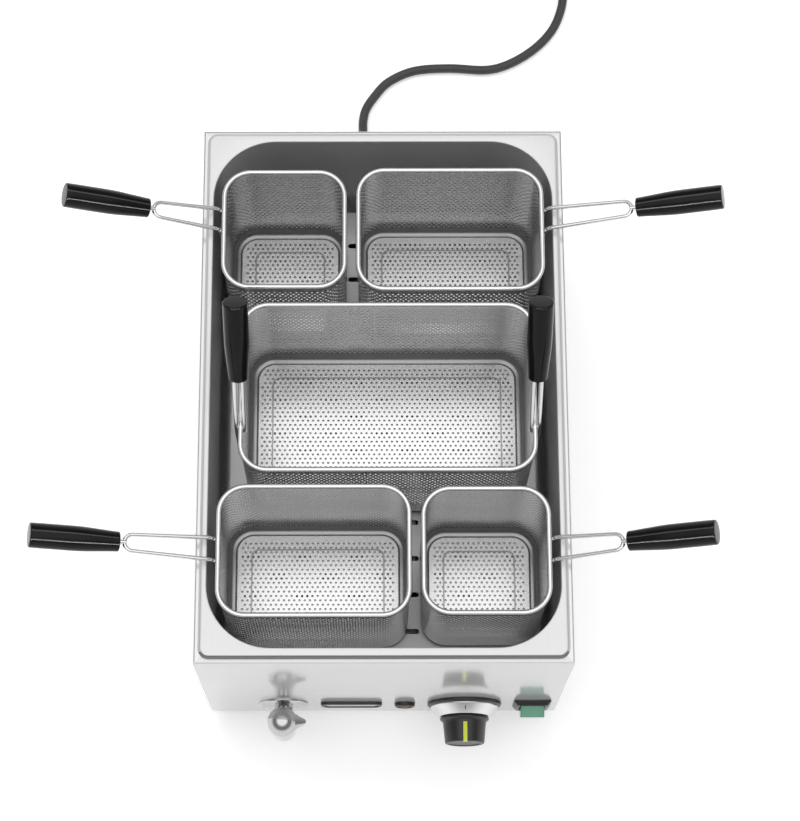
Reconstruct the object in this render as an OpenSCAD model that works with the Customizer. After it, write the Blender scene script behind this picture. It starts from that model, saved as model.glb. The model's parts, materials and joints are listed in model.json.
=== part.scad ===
// Countertop pasta cooker: a steel casing with a sunk tank, five lift-out wire-handled baskets on a
// slotted false bottom, a drain tap and an electric control row. Millimetres, +Z up, front at -Y.

/* [Casing] */
// Width of the casing, side to side
body_w = 340; // [310:1:400]
// Length of the casing, front to rear
body_l = 515; // [495:1:600]
// Height of the feet
foot_h = 20; // [14:1:40]
// Diameter of a foot where it meets the casing
foot_d = 30; // [22:1:36]
// Distance of the feet's axes from the casing's outer faces
foot_inset = 24; // [20:1:34]
// Height of the room for the controls, from the casing's foot to the tank's floor
under_h = 76; // [70:1:110]
// Thickness of the casing's sheet steel
sheet = 1.2; // [0.8:0.1:1.6]
// Width of the casing's flange that shows round the deck
border = 4; // [3:0.5:5]
// Width of the in-turned flange at the casing's top
top_flange = 7; // [5:0.5:8]
// Width of the in-turned flange at the casing's foot
foot_flange = 42; // [38:1:50]
// Diameter of the sheet-metal and foot screws
screw_d = 4; // [3:0.5:5]

/* [Deck and tank] */
// Height of the deck over the casing's flange
deck_rise = 5; // [4:0.5:8]
// Corner radius of the raised deck
deck_corner_r = 10; // [4:1:20]
// Distance from the casing's side to the inside of the tank
tank_side = 11; // [10.5:0.5:14]
// Distance from the casing's front or rear to the inside of the tank
tank_end = 13.5; // [12:0.5:20]
// Corner radius of the tank
tank_corner_r = 58; // [40:1:70]
// Depth of the tank from the deck to its floor
tank_depth = 174; // [150:1:220]
// Wall of the tank
tank_wall = 1.2; // [0.8:0.1:1.6]
// Fillet between the tank's floor and walls
tank_fillet = 8; // [4:1:9]
// Width of the tank's flange under the deck
tank_flange = 4.5; // [3:0.5:5]

/* [False bottom] */
// Height of the false bottom's top over the tank's floor
plate_rise = 24; // [20:1:40]
// Thickness of the false bottom
plate_t = 1.5; // [1:0.1:3]
// Gap from the false bottom to the tank's walls
plate_gap = 10; // [9.5:0.5:20]
// Width of the false bottom's slots
slot_w = 5; // [3:0.5:8]
// Step from slot to slot
slot_step = 20; // [12:1:30]
// Length of a slot
slot_l = 76; // [40:1:84]
// Number of slot columns
slot_cols = 3; // [1:1:3]
// Width of the false bottom's legs
leg_w = 180; // [100:5:200]

/* [Baskets] */
// Width of a small basket over its rim
small_w = 118; // [90:1:140]
// Length of a small basket over its rim
small_l = 120; // [90:1:130]
// Length of a medium basket over its rim
medium_l = 124; // [90:1:140]
// Length of the large basket over its rim
large_l = 164; // [120:1:190]
// Gap from a corner basket's rim to the tank's side
side_gap = 7.5; // [6:0.5:12]
// Gap between the two baskets of a row
pair_gap = 8; // [3:0.5:16]
// Gap between the rows of baskets
row_gap = 11; // [4:0.5:20]
// Mean gap from the large basket's rim to the tank's sides
large_gap = 22; // [17:0.5:30]
// Offset of the large basket to the right
large_x = 4; // [-6:0.5:6]
// Height of the baskets from their base to the middle of the rim
basket_h = 150; // [100:1:170]
// Corner radius of the baskets over the rim
basket_corner_r = 27; // [22:1:40]
// Fillet between a basket's base and walls
basket_fillet = 7; // [4:0.5:9]
// Thickness of the baskets' sheet
basket_wall = 1; // [0.6:0.1:1.4]
// Diameter of the rim wire
rim_d = 5; // [4:0.5:6]

/* [Basket handles] */
// Diameter of the handle wire
wire_d = 4; // [3:0.5:5]
// Distance between the two wires of a corner handle
wire_gap = 20; // [14:1:30]
// Length of the wires welded below the rim
wire_leg = 42; // [20:1:80]
// Bend radius of the handle wire
wire_bend = 8; // [6:0.5:10]
// Rise of the small baskets' handles, in degrees
small_rise = 23; // [15:1:40]
// Rise of the medium baskets' handles, in degrees
medium_rise = 18; // [15:1:40]
// Length of wire from the bend to the grip on a small basket
small_reach = 64; // [40:1:100]
// Length of wire from the bend to the grip on a medium basket
medium_reach = 80; // [40:1:100]
// Distance of the rear baskets' handles behind the baskets' middles
rear_handle_back = 8; // [-12:1:12]
// Length of wire from the rim to a grip on the large basket
large_reach = 56; // [40:1:80]
// Lean of the large basket's handles from upright, in degrees
large_lean = 38; // [0:1:45]
// Distance of the large basket's handles in front of its middle
large_attach = 41; // [0:1:50]
// Distance between the two wires of a large-basket handle
hairpin_gap = 7; // [6.5:0.5:8]
// Diameter of the stem in a corner grip
stem_d = 5; // [4:0.5:7]
// Length of the stem that shows
stem_show = 5; // [2:1:12]
// Depth of the holes in the grips
grip_hole = 26; // [15:1:50]
// Length of a grip
grip_l = 80; // [60:1:110]
// Diameter of a grip
grip_d = 22.5; // [19.5:0.5:26]
// Diameter of a grip at its wire end
grip_neck_d = 18; // [15:0.5:19]
// Length of a grip's taper
grip_taper = 34; // [20:1:50]

/* [Heating] */
// Diameter of the tubular heating element
element_d = 8; // [6:0.5:8.5]
// Bend radius of the element's loops
element_r = 30; // [20:1:34]
// Distance from the tank's ends to the element
element_end = 74; // [60:1:90]
// Gap between the element and the false bottom
element_gap = 3.5; // [2:0.5:4]
// Radius of the element's bend down into the floor
element_drop_r = 10; // [8:0.5:11]
// Length of the element's cold ends under the tank
element_tail = 26; // [15:1:30]
// Diameter of the glands in the tank's floor
gland_d = 16; // [13:0.5:20]
// Diameter of the sensing bulb
bulb_d = 6; // [5:0.5:8]
// Length of the sensing bulb
bulb_l = 90; // [50:5:120]
// Diameter of the sensing bulb's capillary tube
capillary_d = 2.5; // [1.5:0.5:3]
// Diameter of the overheat cut-out
cutout_d = 24; // [16:1:30]
// Height of the overheat cut-out
cutout_h = 12; // [8:1:16]

/* [Control row] */
// Depth of the controls' axes below the tank's floor
control_drop = 32; // [31:0.5:40]
// Clearance of the parts that seat in a hole
seat_clear = 0.2; // [0.1:0.05:0.4]
// Clearance of the parts that turn in a hole
run_clear = 0.05; // [0.02:0.01:0.1]
// Distance from the casing's right side to the switch's axis
switch_edge = 25; // [22:1:30]
// Distance from the casing's left side to the tap's axis
tap_edge = 73; // [50:1:80]
// Diameter of the black ring under the dial
dial_base_d = 72; // [68:1:78]
// Thickness of the black ring under the dial
dial_base_t = 4; // [2:0.5:6]
// Diameter of the dial where it meets its ring
dial_d = 66; // [56:1:67]
// Diameter of the dial at its front
dial_front_d = 50; // [44:1:55]
// Height of the dial
dial_h = 10; // [6:0.5:16]
// Gap between the dial and the knob
knob_gap = 1; // [0.5:0.1:2]
// Diameter of the knob's skirt
knob_skirt_d = 48; // [44:1:56]
// Thickness of the knob's skirt
knob_skirt_t = 3; // [2:0.5:5]
// Diameter of the knob behind
knob_d = 42; // [38:1:44]
// Diameter of the knob in front
knob_front_d = 38; // [30:1:41]
// Length of the knob
knob_l = 25; // [20:1:35]
// Width of the knob's pointer line
pointer_w = 3; // [2:0.5:5]
// Depth of the pointer's groove
pointer_t = 1.2; // [0.6:0.1:2]
// Diameter of the thermostat's spindle
spindle_d = 6; // [5:0.5:7]
// Diameter of the thermostat's bush
bush_d = 10; // [9:0.5:12]
// Width of the thermostat's case
thermostat_w = 46; // [36:1:56]
// Height of the thermostat's case
thermostat_h = 36; // [30:1:40]
// Depth of the thermostat's case
thermostat_l = 34; // [25:1:40]
// Width of the thermometer's bezel
gauge_w = 60; // [50:1:66]
// Height of the thermometer's bezel
gauge_h = 21; // [16:1:28]
// Thickness of the thermometer's bezel
gauge_t = 3; // [2:0.5:5]
// Width of the thermometer bezel's edge
gauge_edge = 4; // [3:0.5:6]
// Depth of the thermometer behind the panel
gauge_l = 18; // [10:1:30]
// Diameter of the pilot lamp's bezel
lamp_d = 20; // [16:1:24]
// Thickness of the pilot lamp's bezel
lamp_t = 4; // [2:0.5:6]
// Diameter of the pilot lamp's lens
lamp_lens_d = 13; // [9:0.5:14]
// Depth of the pilot lamp behind the panel
lamp_l = 26; // [15:1:40]
// Width of the switch's bezel
switch_w = 36; // [34:1:42]
// Height of the switch's bezel
switch_h = 36; // [34:1:42]
// Thickness of the switch's bezel
switch_t = 7; // [5:0.5:9]
// Slope of the switch bezel's sides, in millimetres
switch_chamfer = 3; // [1:0.5:4]
// Width of the rocker
rocker_w = 23; // [18:0.5:24]
// Height of the rocker
rocker_h = 20; // [16:0.5:21]
// Distance of the rocker's middle from the panel
rocker_out = 10; // [8:0.5:13]
// Tilt of the rocker each way, in degrees
rocker_tilt = 10; // [6:1:12]
// Diameter of the rocker's pivot pegs
rocker_peg_d = 4; // [3:0.5:5]
// Length of the rocker's pivot pegs
rocker_peg_l = 2; // [1:0.25:2.5]
// Depth of the switch behind the panel
switch_l = 24; // [18:1:34]

/* [Drain tap] */
// Diameter of the tap's shank
shank_d = 18; // [16:0.5:22]
// Bore of the tap and the drain pipe
drain_bore = 11; // [8:0.5:12]
// Distance of the tap's axis from the front panel
tap_out = 23.5; // [20:0.5:30]
// Diameter of the tap's barrel
barrel_d = 24; // [22:0.5:28]
// Height of the tap's barrel over the shank's axis
barrel_up = 23; // [18:0.5:30]
// Depth of the tap's barrel below the shank's axis
barrel_down = 16; // [13:0.5:20]
// Length of the spout under the barrel
spout_l = 14; // [8:0.5:20]
// Diameter of the spout
spout_d = 16; // [14:0.5:20]
// Diameter of the tap's turning plug
plug_d = 15; // [13:0.5:18]
// Diameter of the wall plate round the shank
escutcheon_d = 48; // [36:1:49]
// Thickness of the wall plate
escutcheon_t = 5; // [3:0.5:8]
// Radius of the lever's domed head
lever_r = 14.5; // [12:0.5:17]
// Distance of the lever's tip from its axis
lever_reach = 23.7; // [20:0.1:40]
// Radius of the lever's tip
lever_tip_r = 3.5; // [2.5:0.5:5]
// Gap between the lever and the barrel
lever_gap = 0.6; // [0.3:0.1:2]
// Width of the lock nut across its flats
lock_nut_w = 27; // [25:1:34]
// Thickness of the lock nut
lock_nut_t = 6; // [4:0.5:10]
// Outer diameter of the drain pipe
pipe_d = 18; // [15:0.5:24]
// Bend radius of the drain pipe
pipe_r = 22; // [18:0.5:24]
// Length of the shank inside the casing
shank_in = 20; // [12:1:30]

/* [Mains lead] */
// Diameter of the mains lead
cord_d = 9.5; // [8:0.25:10]
// Distance of the lead's gland to the left of the middle
gland_off = 20; // [0:1:60]
// Height of the gland over the floor
gland_z = 46; // [40:1:60]
// Diameter of the gland's collar
collar_d = 26; // [22:1:32]
// Thickness of the gland's collar
collar_t = 10; // [6:1:14]
// Diameter of the gland's threaded barrel
thread_d = 20; // [18:0.5:21]
// Length of the gland's threaded barrel
thread_l = 16; // [12:1:24]
// Length of the tapered strain relief
relief_l = 36; // [20:1:60]
// Gap between neighbouring turns of the coil
coil_gap = 0.6; // [0.5:0.05:1.5]
// Radius of the coil's innermost turn
coil_r_in = 37; // [34:1:48]
// Number of turns in the coil
coil_turns = 4.25; // [2.25:1:6.25]
// Thickness of the coil's tie
tie_t = 1.5; // [1:0.1:3]
// Width of the coil's tie
tie_w = 9; // [5:0.5:14]
// Diameter of the plug
plug_body_d = 37; // [34:1:40]
// Length of the plug's body
plug_body_l = 34; // [26:1:46]
// Length of the plug's neck
plug_neck_l = 16; // [10:1:24]
// Diameter of a plug pin
pin_d = 4.8; // [4:0.1:5]
// Length of a plug pin
pin_l = 19; // [15:0.5:22]
// Distance between the plug pins
pin_gap = 19; // [14:0.5:22]

/* [Hidden] */
$fn = 64;

// Levels, from the floor up
casing_z = foot_h;
tank_floor_z = casing_z + under_h;
deck_z = tank_floor_z + tank_depth;
flange_z = deck_z - deck_rise;
body_h = flange_z - casing_z;
plate_z = tank_floor_z + plate_rise;
rim_z = plate_z + basket_h;
control_z = tank_floor_z - control_drop;
base_z = casing_z + sheet;
tank_under_z = tank_floor_z - tank_wall;

// Plan sizes
tank_w = body_w - 2 * tank_side;
tank_l = body_l - 2 * tank_end;
deck_w = body_w - 2 * border;
deck_l = body_l - 2 * border;
inner_w = body_w - 2 * sheet;
inner_l = body_l - 2 * sheet;
front_y = -body_l / 2;
rear_y = body_l / 2;
front_reach = body_l / 2 + dial_base_t + dial_h + knob_gap + knob_l;
// The origin lies under the middle of the whole machine, knob and tap included
body_y = (front_reach - body_l / 2) / 2;

// Baskets: the medium one fills the row beside the small one
medium_w = tank_w - 2 * side_gap - pair_gap - small_w;
large_w = tank_w - 2 * large_gap;
small_x = tank_w / 2 - side_gap - small_w / 2;
medium_x = tank_w / 2 - side_gap - medium_w / 2;
row_y = large_l / 2 + row_gap + max(medium_l, small_l) / 2;
wire_weld = 0.5;
// Growth of the ball that joins two straight wires at a bend
bead = 0.6;
leg_out = (rim_d + wire_d) / 2 - wire_weld;
grip_edge = 1.2;
grip_fit = 0.05;

// The control row: tap at the left, switch at the right, the rest evenly spaced between them
tap_x = -body_w / 2 + tap_edge;
switch_x = body_w / 2 - switch_edge;
row_start = tap_x + escutcheon_d / 2;
row_end = switch_x - switch_w / 2;
control_gap = (row_end - row_start - gauge_w - lamp_d - dial_base_d) / 4;
gauge_x = row_start + control_gap + gauge_w / 2;
lamp_x = gauge_x + gauge_w / 2 + control_gap + lamp_d / 2;
knob_x = lamp_x + lamp_d / 2 + control_gap + dial_base_d / 2;

// Dial and knob planes, as distances in front of the panel
dial_y = front_y - dial_base_t;
knob_back_y = dial_y - dial_h - knob_gap;
knob_front_y = knob_back_y - knob_l;
knob_bore_l = knob_l - 8;
spindle_back_y = front_y + sheet + thermostat_l - 6;
pointer_slope = atan((knob_d - knob_front_d) / 2 / (knob_l - knob_skirt_t));
pointer_foot = 10;

// Lamp, thermometer and switch bodies behind the panel
lamp_body_d = lamp_lens_d + 3;
gauge_body_w = gauge_w - 2 * gauge_edge + 2;
gauge_body_h = gauge_h - 2 * gauge_edge + 2;
gauge_window_t = 1.5;
// Share of a thermometer outline's height that its corner radius takes
gauge_round = 0.4;
rocker_room = 2.5;
rocker_side = 0.4;
switch_body_w = rocker_w + 2 * rocker_side + 5;
switch_body_h = rocker_h + 2 * rocker_room + 4;
rocker_back = 3;
rocker_pivot = 1;
rocker_dish = rocker_h / 2 * tan(rocker_tilt);
switch_floor = 10;

// Drain tap
tap_y = front_y - tap_out;
barrel_top_z = control_z + barrel_up;
barrel_foot_z = control_z - barrel_down;
plug_foot_z = control_z - drain_bore / 2 - 4;
lever_z = barrel_top_z + lever_gap;
lever_cut = 7;
lever_mid_z = lever_z + lever_cut;
neck_d = plug_d - 5;
neck_l = 9;
shank_back_y = front_y + sheet + shank_in;
drain_y = shank_back_y + pipe_r + 8;

// Heating element
plate_under_z = plate_z - plate_t;
element_z = plate_under_z - element_gap - element_d / 2;
element_y = tank_l / 2 - element_end;
gland_y = element_y + element_drop_r;
gland_flange_t = 3;
gland_nut_t = 6;
bulb_x = 0;
capillary_r = 8;
bulb_z = element_z;
bulb_y = -element_y + element_r + bulb_d;
capillary_y = front_y + tank_end + tank_fillet + 10;
capillary_foot_z = control_z + thermostat_h / 2;
capillary_x = knob_x - thermostat_w / 2 + 8;

// Small fasteners
screw_clear = 0.4;
head_d = 2 * screw_d;
head_t = 2;
foot_bore_d = head_d + 3;
foot_bore_h = foot_h / 2;
foot_flare = 4;
base_screw_rows = 3;

// Mains lead. The route's points give x, distance behind the rear panel and height over the floor
cord_r = cord_d / 2;
gland_x = -gland_off;
relief_end_d = cord_d + 3;
lead_route = [
    [-20, 46, 46], [-20, 51, 46], [-20, 56, 46], [-20, 70, 43.5], [-20, 83, 37], [-20, 94, 26],
    [-20, 104, 14.5], [-20, 117, 7], [-20, 131, 4.8], [-17, 145, 4.8], [-8, 160, 4.8], [8, 178, 4.8],
    [36, 191, 4.8], [74, 194, 4.8], [114, 192, 4.8], [141, 200, 4.8], [168, 218, 4.8], [187, 240, 4.8],
    [197, 264, 4.8], [200, 284, 4.8], [200, 304, 5.4], [200, 324, 6.4], [200, 336, 6.6], [200, 341, 6.6],
    [200, 346, 6.6]
];
lead_sides = 10;
lead_steps = 2;
lead_end = lead_route[len(lead_route) - 1];

// The coil winds in on the floor, climbs a layer where its spiral turns back, and winds out on top
coil_sides = 6;
coil_rings = 24;
coil_step = cord_d + coil_gap;
coil_mid = coil_turns / 2;
coil_r_out = coil_r_in + coil_step * coil_mid;
coil_x = lead_end[0] - coil_r_out;
coil_y = lead_end[1] + cord_d;
coil_low = lead_end[2];
coil_high = coil_low + coil_step;
plug_z = plug_body_d / 2 + 0.5;
tail_run = sqrt(pow(coil_r_out + plug_body_d / 2 + cord_r + 2, 2) - pow(coil_r_out, 2));
coil_end_angle = 360 * coil_turns;
tail_dir = [-sin(coil_end_angle), cos(coil_end_angle), 0];
coil_end = coil_point(coil_turns);
plug_at = [for (i = [0, 1]) coil_end[i] + tail_dir[i] * tail_run];

function smooth(t) = let (u = min(max(t, 0), 1)) u * u * (3 - 2 * u);
function coil_point(t) = let (r = coil_r_in + coil_step * abs(t - coil_mid)) [
    coil_x + r * cos(360 * t), coil_y + r * sin(360 * t),
    coil_low + (coil_high - coil_low) * smooth(2 * (t - coil_mid) + 0.5)
];
function tail_point(s) = [
    coil_end[0] + tail_dir[0] * s, coil_end[1] + tail_dir[1] * s,
    coil_high + (plug_z - coil_high) * smooth(s / (tail_run - cord_d))
];
tail_steps = 5;
coil_path = concat(
    [lead_end],
    [for (i = [0 : coil_turns * coil_rings]) coil_point(i / coil_rings)],
    [for (i = [1 : tail_steps]) tail_point((tail_run - cord_d) * i / tail_steps)],
    [[plug_at[0], plug_at[1], plug_z]]
);
// Least distance of the coil from itself, between points more than half a turn apart
coil_self_gap = min([
    for (i = [0 : len(coil_path) - 1])
        for (j = [i + coil_rings / 2 : 1 : len(coil_path) - 1]) norm(coil_path[i] - coil_path[j])
]) - cord_d;

function spline(a, b, c, d, t) =
    0.5 * (2 * b + (c - a) * t + (2 * a - 5 * b + 4 * c - d) * t * t + (3 * b - a - 3 * c + d) * t * t * t);
function smooth_route(p, steps) = let (n = len(p)) concat([
    for (i = [0 : n - 2])
        for (k = [0 : steps - 1])
            spline(p[max(i - 1, 0)], p[i], p[i + 1], p[min(i + 2, n - 1)], k / steps)
], [p[n - 1]]);
function path_length(p) = [for (i = [1 : len(p) - 1]) norm(p[i] - p[i - 1])] * [for (i = [1 : len(p) - 1]) 1];
function unit(v) = v / norm(v);
function tangent(p, i) = unit(p[min(i + 1, len(p) - 1)] - p[max(i - 1, 0)]);
lead_path = smooth_route(lead_route, lead_steps);
echo("coil gap to itself", coil_self_gap, "cord length", path_length(lead_path) + path_length(coil_path));

// A tube of the given radius and number of sides along a path, closed at both ends
module tube(p, r, sides) {
    n = len(p);
    rings = [
        for (i = [0 : n - 1])
            let (t = tangent(p, i), side = unit(cross([0, 0, 1], t)), up = cross(t, side))
                for (k = [0 : sides - 1]) p[i] + r * (cos(360 * k / sides) * side + sin(360 * k / sides) * up)
    ];
    walls = [
        for (i = [0 : n - 2]) for (k = [0 : sides - 1])
            let (a = i * sides + k, b = i * sides + (k + 1) % sides, c = a + sides, d = b + sides)
                each [[a, c, b], [b, c, d]]
    ];
    start = [for (k = [1 : sides - 2]) [0, k, k + 1]];
    last = (n - 1) * sides;
    end = [for (k = [1 : sides - 2]) [last, last + k + 1, last + k]];
    polyhedron(rings, concat(walls, start, end), convexity = 10);
}

// Moves a piece from the casing's own middle to the machine's frame
module seat() {
    translate([0, body_y, 0]) children();
}

// Moves a piece to the rear panel, from which the lead's places are measured
module behind() {
    translate([0, body_y + rear_y, 0]) children();
}

// Turns a piece that stands on the floor so that it stands out from the front panel at x, z
module on_front(x, z) {
    translate([x, front_y, z]) rotate([90, 0, 0]) children();
}

module rounded_rect(w, l, r) {
    square([w - 2 * r, l], center = true);
    square([w, l - 2 * r], center = true);
    for (x = [-1, 1]) for (y = [-1, 1]) translate([x * (w / 2 - r), y * (l / 2 - r)]) circle(r);
}

// Side view of a tub: a rectangle with its lower corners rounded by f
module tub_profile(w, h, f) {
    translate([-w / 2, f]) square([w, h - f]);
    translate([f - w / 2, 0]) square([w - 2 * f, f]);
    for (s = [-1, 1]) translate([s * (w / 2 - f), f]) circle(f);
}

// Half of the side view of a tub's rounded corner
module tub_corner(r, h, f) {
    translate([0, f]) square([r, h - f]);
    square([r - f, f]);
    translate([r - f, f]) circle(f);
}

// A solid tub: corner radius r in plan, edge radius f at the foot
module tub(w, l, h, r, f) {
    rotate([90, 0, 0]) linear_extrude(height = l - 2 * r, center = true) tub_profile(w, h, f);
    rotate([90, 0, 90]) linear_extrude(height = w - 2 * r, center = true) tub_profile(l, h, f);
    for (x = [-1, 1]) for (y = [-1, 1])
        translate([x * (w / 2 - r), y * (l / 2 - r), 0]) rotate_extrude() tub_corner(r, h, f);
}

// A straight round rod between two points
module rod(a, b, d) {
    v = b - a;
    translate(a) rotate([0, acos(v[2] / norm(v)), atan2(v[1], v[0])]) cylinder(h = norm(v), d = d);
}

// An arc of round wire in the XY plane about the origin
module wire_arc(r, d, from, angle) {
    rotate([0, 0, from]) rotate_extrude(angle = angle) translate([r, 0]) circle(d = d);
}

// A closed rounded rectangle of round wire, sized on the wire's middle line
module wire_loop(w, l, r, d) {
    for (s = [-1, 1]) {
        translate([s * w / 2, 0, 0]) rotate([90, 0, 0]) cylinder(h = l - 2 * r, d = d, center = true);
        translate([0, s * l / 2, 0]) rotate([0, 90, 0]) cylinder(h = w - 2 * r, d = d, center = true);
    }
    for (q = [[1, 1, 0], [-1, 1, 90], [-1, -1, 180], [1, -1, 270]])
        translate([q[0] * (w / 2 - r), q[1] * (l / 2 - r), 0]) wire_arc(r, d, q[2], 90);
}

module left_side_panel() {
    color("lightgray") seat() side_panel(-1);
}

module right_side_panel() {
    color("lightgray") seat() side_panel(1);
}

// A side wall with flanges turned in at its top and foot
module side_panel(s) {
    difference() {
        union() {
            side_strip(s, sheet, casing_z, body_h);
            side_strip(s, sheet + top_flange, flange_z - sheet, sheet);
            side_strip(s, sheet + foot_flange, casing_z, sheet);
        }
        fastener_holes();
    }
}

// A strip along one side of the casing, w wide inwards and h high from z
module side_strip(s, w, z, h) {
    translate([s * (body_w / 2 - w / 2), 0, z + h / 2]) cube([w, inner_l, h], center = true);
}

// A front or rear wall with flanges that fit between those of the sides
module end_panel(s) {
    translate([0, s * (body_l / 2 - sheet / 2), casing_z + body_h / 2])
        cube([body_w, sheet, body_h], center = true);
    end_strip(s, top_flange, flange_z - sheet);
    end_strip(s, foot_flange, casing_z);
}

// A flange on the inside of an end wall, w wide, from z up
module end_strip(s, w, z) {
    translate([0, s * (body_l / 2 - sheet - w / 2), z + sheet / 2])
        cube([inner_w - 2 * w, w, sheet], center = true);
}

module rear_panel() {
    color("lightgray") seat() difference() {
        end_panel(1);
        translate([gland_x, rear_y, gland_z]) rotate([90, 0, 0])
            cylinder(h = 4 * sheet, d = thread_d + 2 * seat_clear, center = true);
    }
}

module front_panel() {
    color("gainsboro") seat() difference() {
        end_panel(-1);
        on_front(tap_x, control_z) cylinder(h = 4 * sheet, d = shank_d + 2 * seat_clear, center = true);
        on_front(knob_x, control_z) cylinder(h = 4 * sheet, d = bush_d + 2 * seat_clear, center = true);
        on_front(lamp_x, control_z)
            cylinder(h = 4 * sheet, d = lamp_body_d + 2 * seat_clear, center = true);
        on_front(gauge_x, control_z) linear_extrude(height = 4 * sheet, center = true)
            rounded_rect(gauge_body_w + 2 * seat_clear, gauge_body_h + 2 * seat_clear, gauge_body_h / 3);
        on_front(switch_x, control_z)
            cube([switch_body_w + 2 * seat_clear, switch_body_h + 2 * seat_clear, 4 * sheet], center = true);
    }
}

// Where the feet stand
module at_feet() {
    for (x = [-1, 1]) for (y = [-1, 1])
        translate([x * (body_w / 2 - foot_inset), y * (body_l / 2 - foot_inset), 0]) children();
}

// Where the base plate is screwed to the side flanges
module at_base_screws() {
    step = (inner_l - 2 * foot_flange - 2 * foot_inset) / (base_screw_rows - 1);
    for (x = [-1, 1]) for (i = [0 : base_screw_rows - 1])
        translate([x * (body_w / 2 - foot_inset), (i - (base_screw_rows - 1) / 2) * step, 0]) children();
}

module fastener_holes() {
    hole_d = screw_d + 2 * screw_clear;
    at_feet() translate([0, 0, casing_z]) cylinder(h = 8 * sheet, d = hole_d, center = true);
    at_base_screws() translate([0, 0, casing_z]) cylinder(h = 8 * sheet, d = hole_d, center = true);
}

module base_plate() {
    color("darkgray") seat() difference() {
        translate([0, 0, base_z + sheet / 2])
            cube([inner_w - 2 * seat_clear, inner_l - 2 * seat_clear, sheet], center = true);
        fastener_holes();
    }
}

module feet() {
    color("black") seat() at_feet() difference() {
        cylinder(h = foot_h, d1 = foot_d + foot_flare, d2 = foot_d);
        translate([0, 0, -1]) cylinder(h = foot_bore_h + 1, d = foot_bore_d);
        cylinder(h = 2 * foot_h, d = screw_d + 2 * screw_clear);
    }
}

// A screw whose head's bearing face is at z = 0, with its shank upwards
module screw(l) {
    translate([0, 0, -head_t]) cylinder(h = head_t, d = head_d);
    cylinder(h = l, d = screw_d);
}

module foot_screws() {
    color("silver") seat() at_feet() translate([0, 0, foot_bore_h])
        screw(foot_h - foot_bore_h + 2 * sheet + 2);
}

module base_screws() {
    color("silver") seat() at_base_screws() translate([0, 0, casing_z]) screw(2 * sheet + 3);
}

module tank_opening(grow) {
    rounded_rect(tank_w + 2 * grow, tank_l + 2 * grow, tank_corner_r + grow);
}

module deck() {
    color("lightgray") seat() translate([0, 0, flange_z]) difference() {
        linear_extrude(height = deck_rise) rounded_rect(deck_w, deck_l, deck_corner_r);
        translate([0, 0, -1]) linear_extrude(height = deck_rise - sheet + 1)
            rounded_rect(deck_w - 2 * sheet, deck_l - 2 * sheet, deck_corner_r - sheet);
        linear_extrude(height = 3 * deck_rise, center = true) tank_opening(0);
    }
}

module tank() {
    rim = deck_z - sheet;
    color("dimgray") seat() difference() {
        union() {
            translate([0, 0, tank_under_z])
                tub(tank_w + 2 * tank_wall, tank_l + 2 * tank_wall, rim - tank_under_z,
                    tank_corner_r + tank_wall, tank_fillet + tank_wall);
            translate([0, 0, rim - tank_wall]) linear_extrude(height = tank_wall) tank_opening(tank_flange);
        }
        translate([0, 0, tank_floor_z]) tub(tank_w, tank_l, tank_depth, tank_corner_r, tank_fillet);
        at_glands() cylinder(h = 8 * tank_wall, d = gland_d / 2 + 2 * seat_clear + 4, center = true);
        translate([capillary_x, capillary_y, tank_floor_z])
            cylinder(h = 8 * tank_wall, d = capillary_d + 4 + 2 * seat_clear, center = true);
        translate([tap_x, drain_y, tank_floor_z])
            cylinder(h = 8 * tank_wall, d = drain_bore, center = true);
    }
}

// Where the element's two ends go through the tank's floor
module at_glands() {
    for (s = [-1, 1]) translate([s * 3 * element_r, gland_y, tank_floor_z]) children();
}

module false_bottom() {
    w = tank_w - 2 * plate_gap;
    l = tank_l - 2 * plate_gap;
    rows = floor((l - 2 * slot_step) / slot_step);
    col_step = slot_l + 16;
    color("silver") seat() {
        translate([0, 0, plate_under_z]) linear_extrude(height = plate_t) difference() {
            rounded_rect(w, l, tank_corner_r - plate_gap);
            for (i = [0 : rows - 1]) for (c = [0 : slot_cols - 1])
                translate([(c - (slot_cols - 1) / 2) * col_step, (i - (rows - 1) / 2) * slot_step])
                    rounded_rect(slot_l, slot_w, slot_w * 0.4);
        }
        for (s = [-1, 1])
            translate([0, s * (l - plate_t) / 2, (tank_floor_z + plate_under_z) / 2])
                cube([leg_w, plate_t, plate_under_z - tank_floor_z], center = true);
    }
}

// Basket sheet, with its base at z = 0. Sizes are taken over the rim
module basket_shell(w, l) {
    slack = rim_d - basket_wall;
    r = basket_corner_r - slack / 2;
    h = basket_h - rim_d / 2 - 0.1;
    color("silver") difference() {
        tub(w - slack, l - slack, h, r, basket_fillet);
        translate([0, 0, basket_wall])
            tub(w - slack - 2 * basket_wall, l - slack - 2 * basket_wall, h, r - basket_wall,
                basket_fillet - basket_wall);
    }
}

module basket_rim(w, l) {
    wire_loop(w - rim_d, l - rim_d, basket_corner_r - rim_d / 2, rim_d);
}

// Carries a piece to the slope of a corner handle, where +X runs along the handle
module on_slope(w, rise, shift) {
    turn = 90 - rise;
    translate([
        w / 2 - rim_d / 2 + leg_out + wire_bend * (1 - cos(turn)), shift, wire_bend * sin(turn)
    ]) rotate([0, -rise, 0]) children();
}

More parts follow.
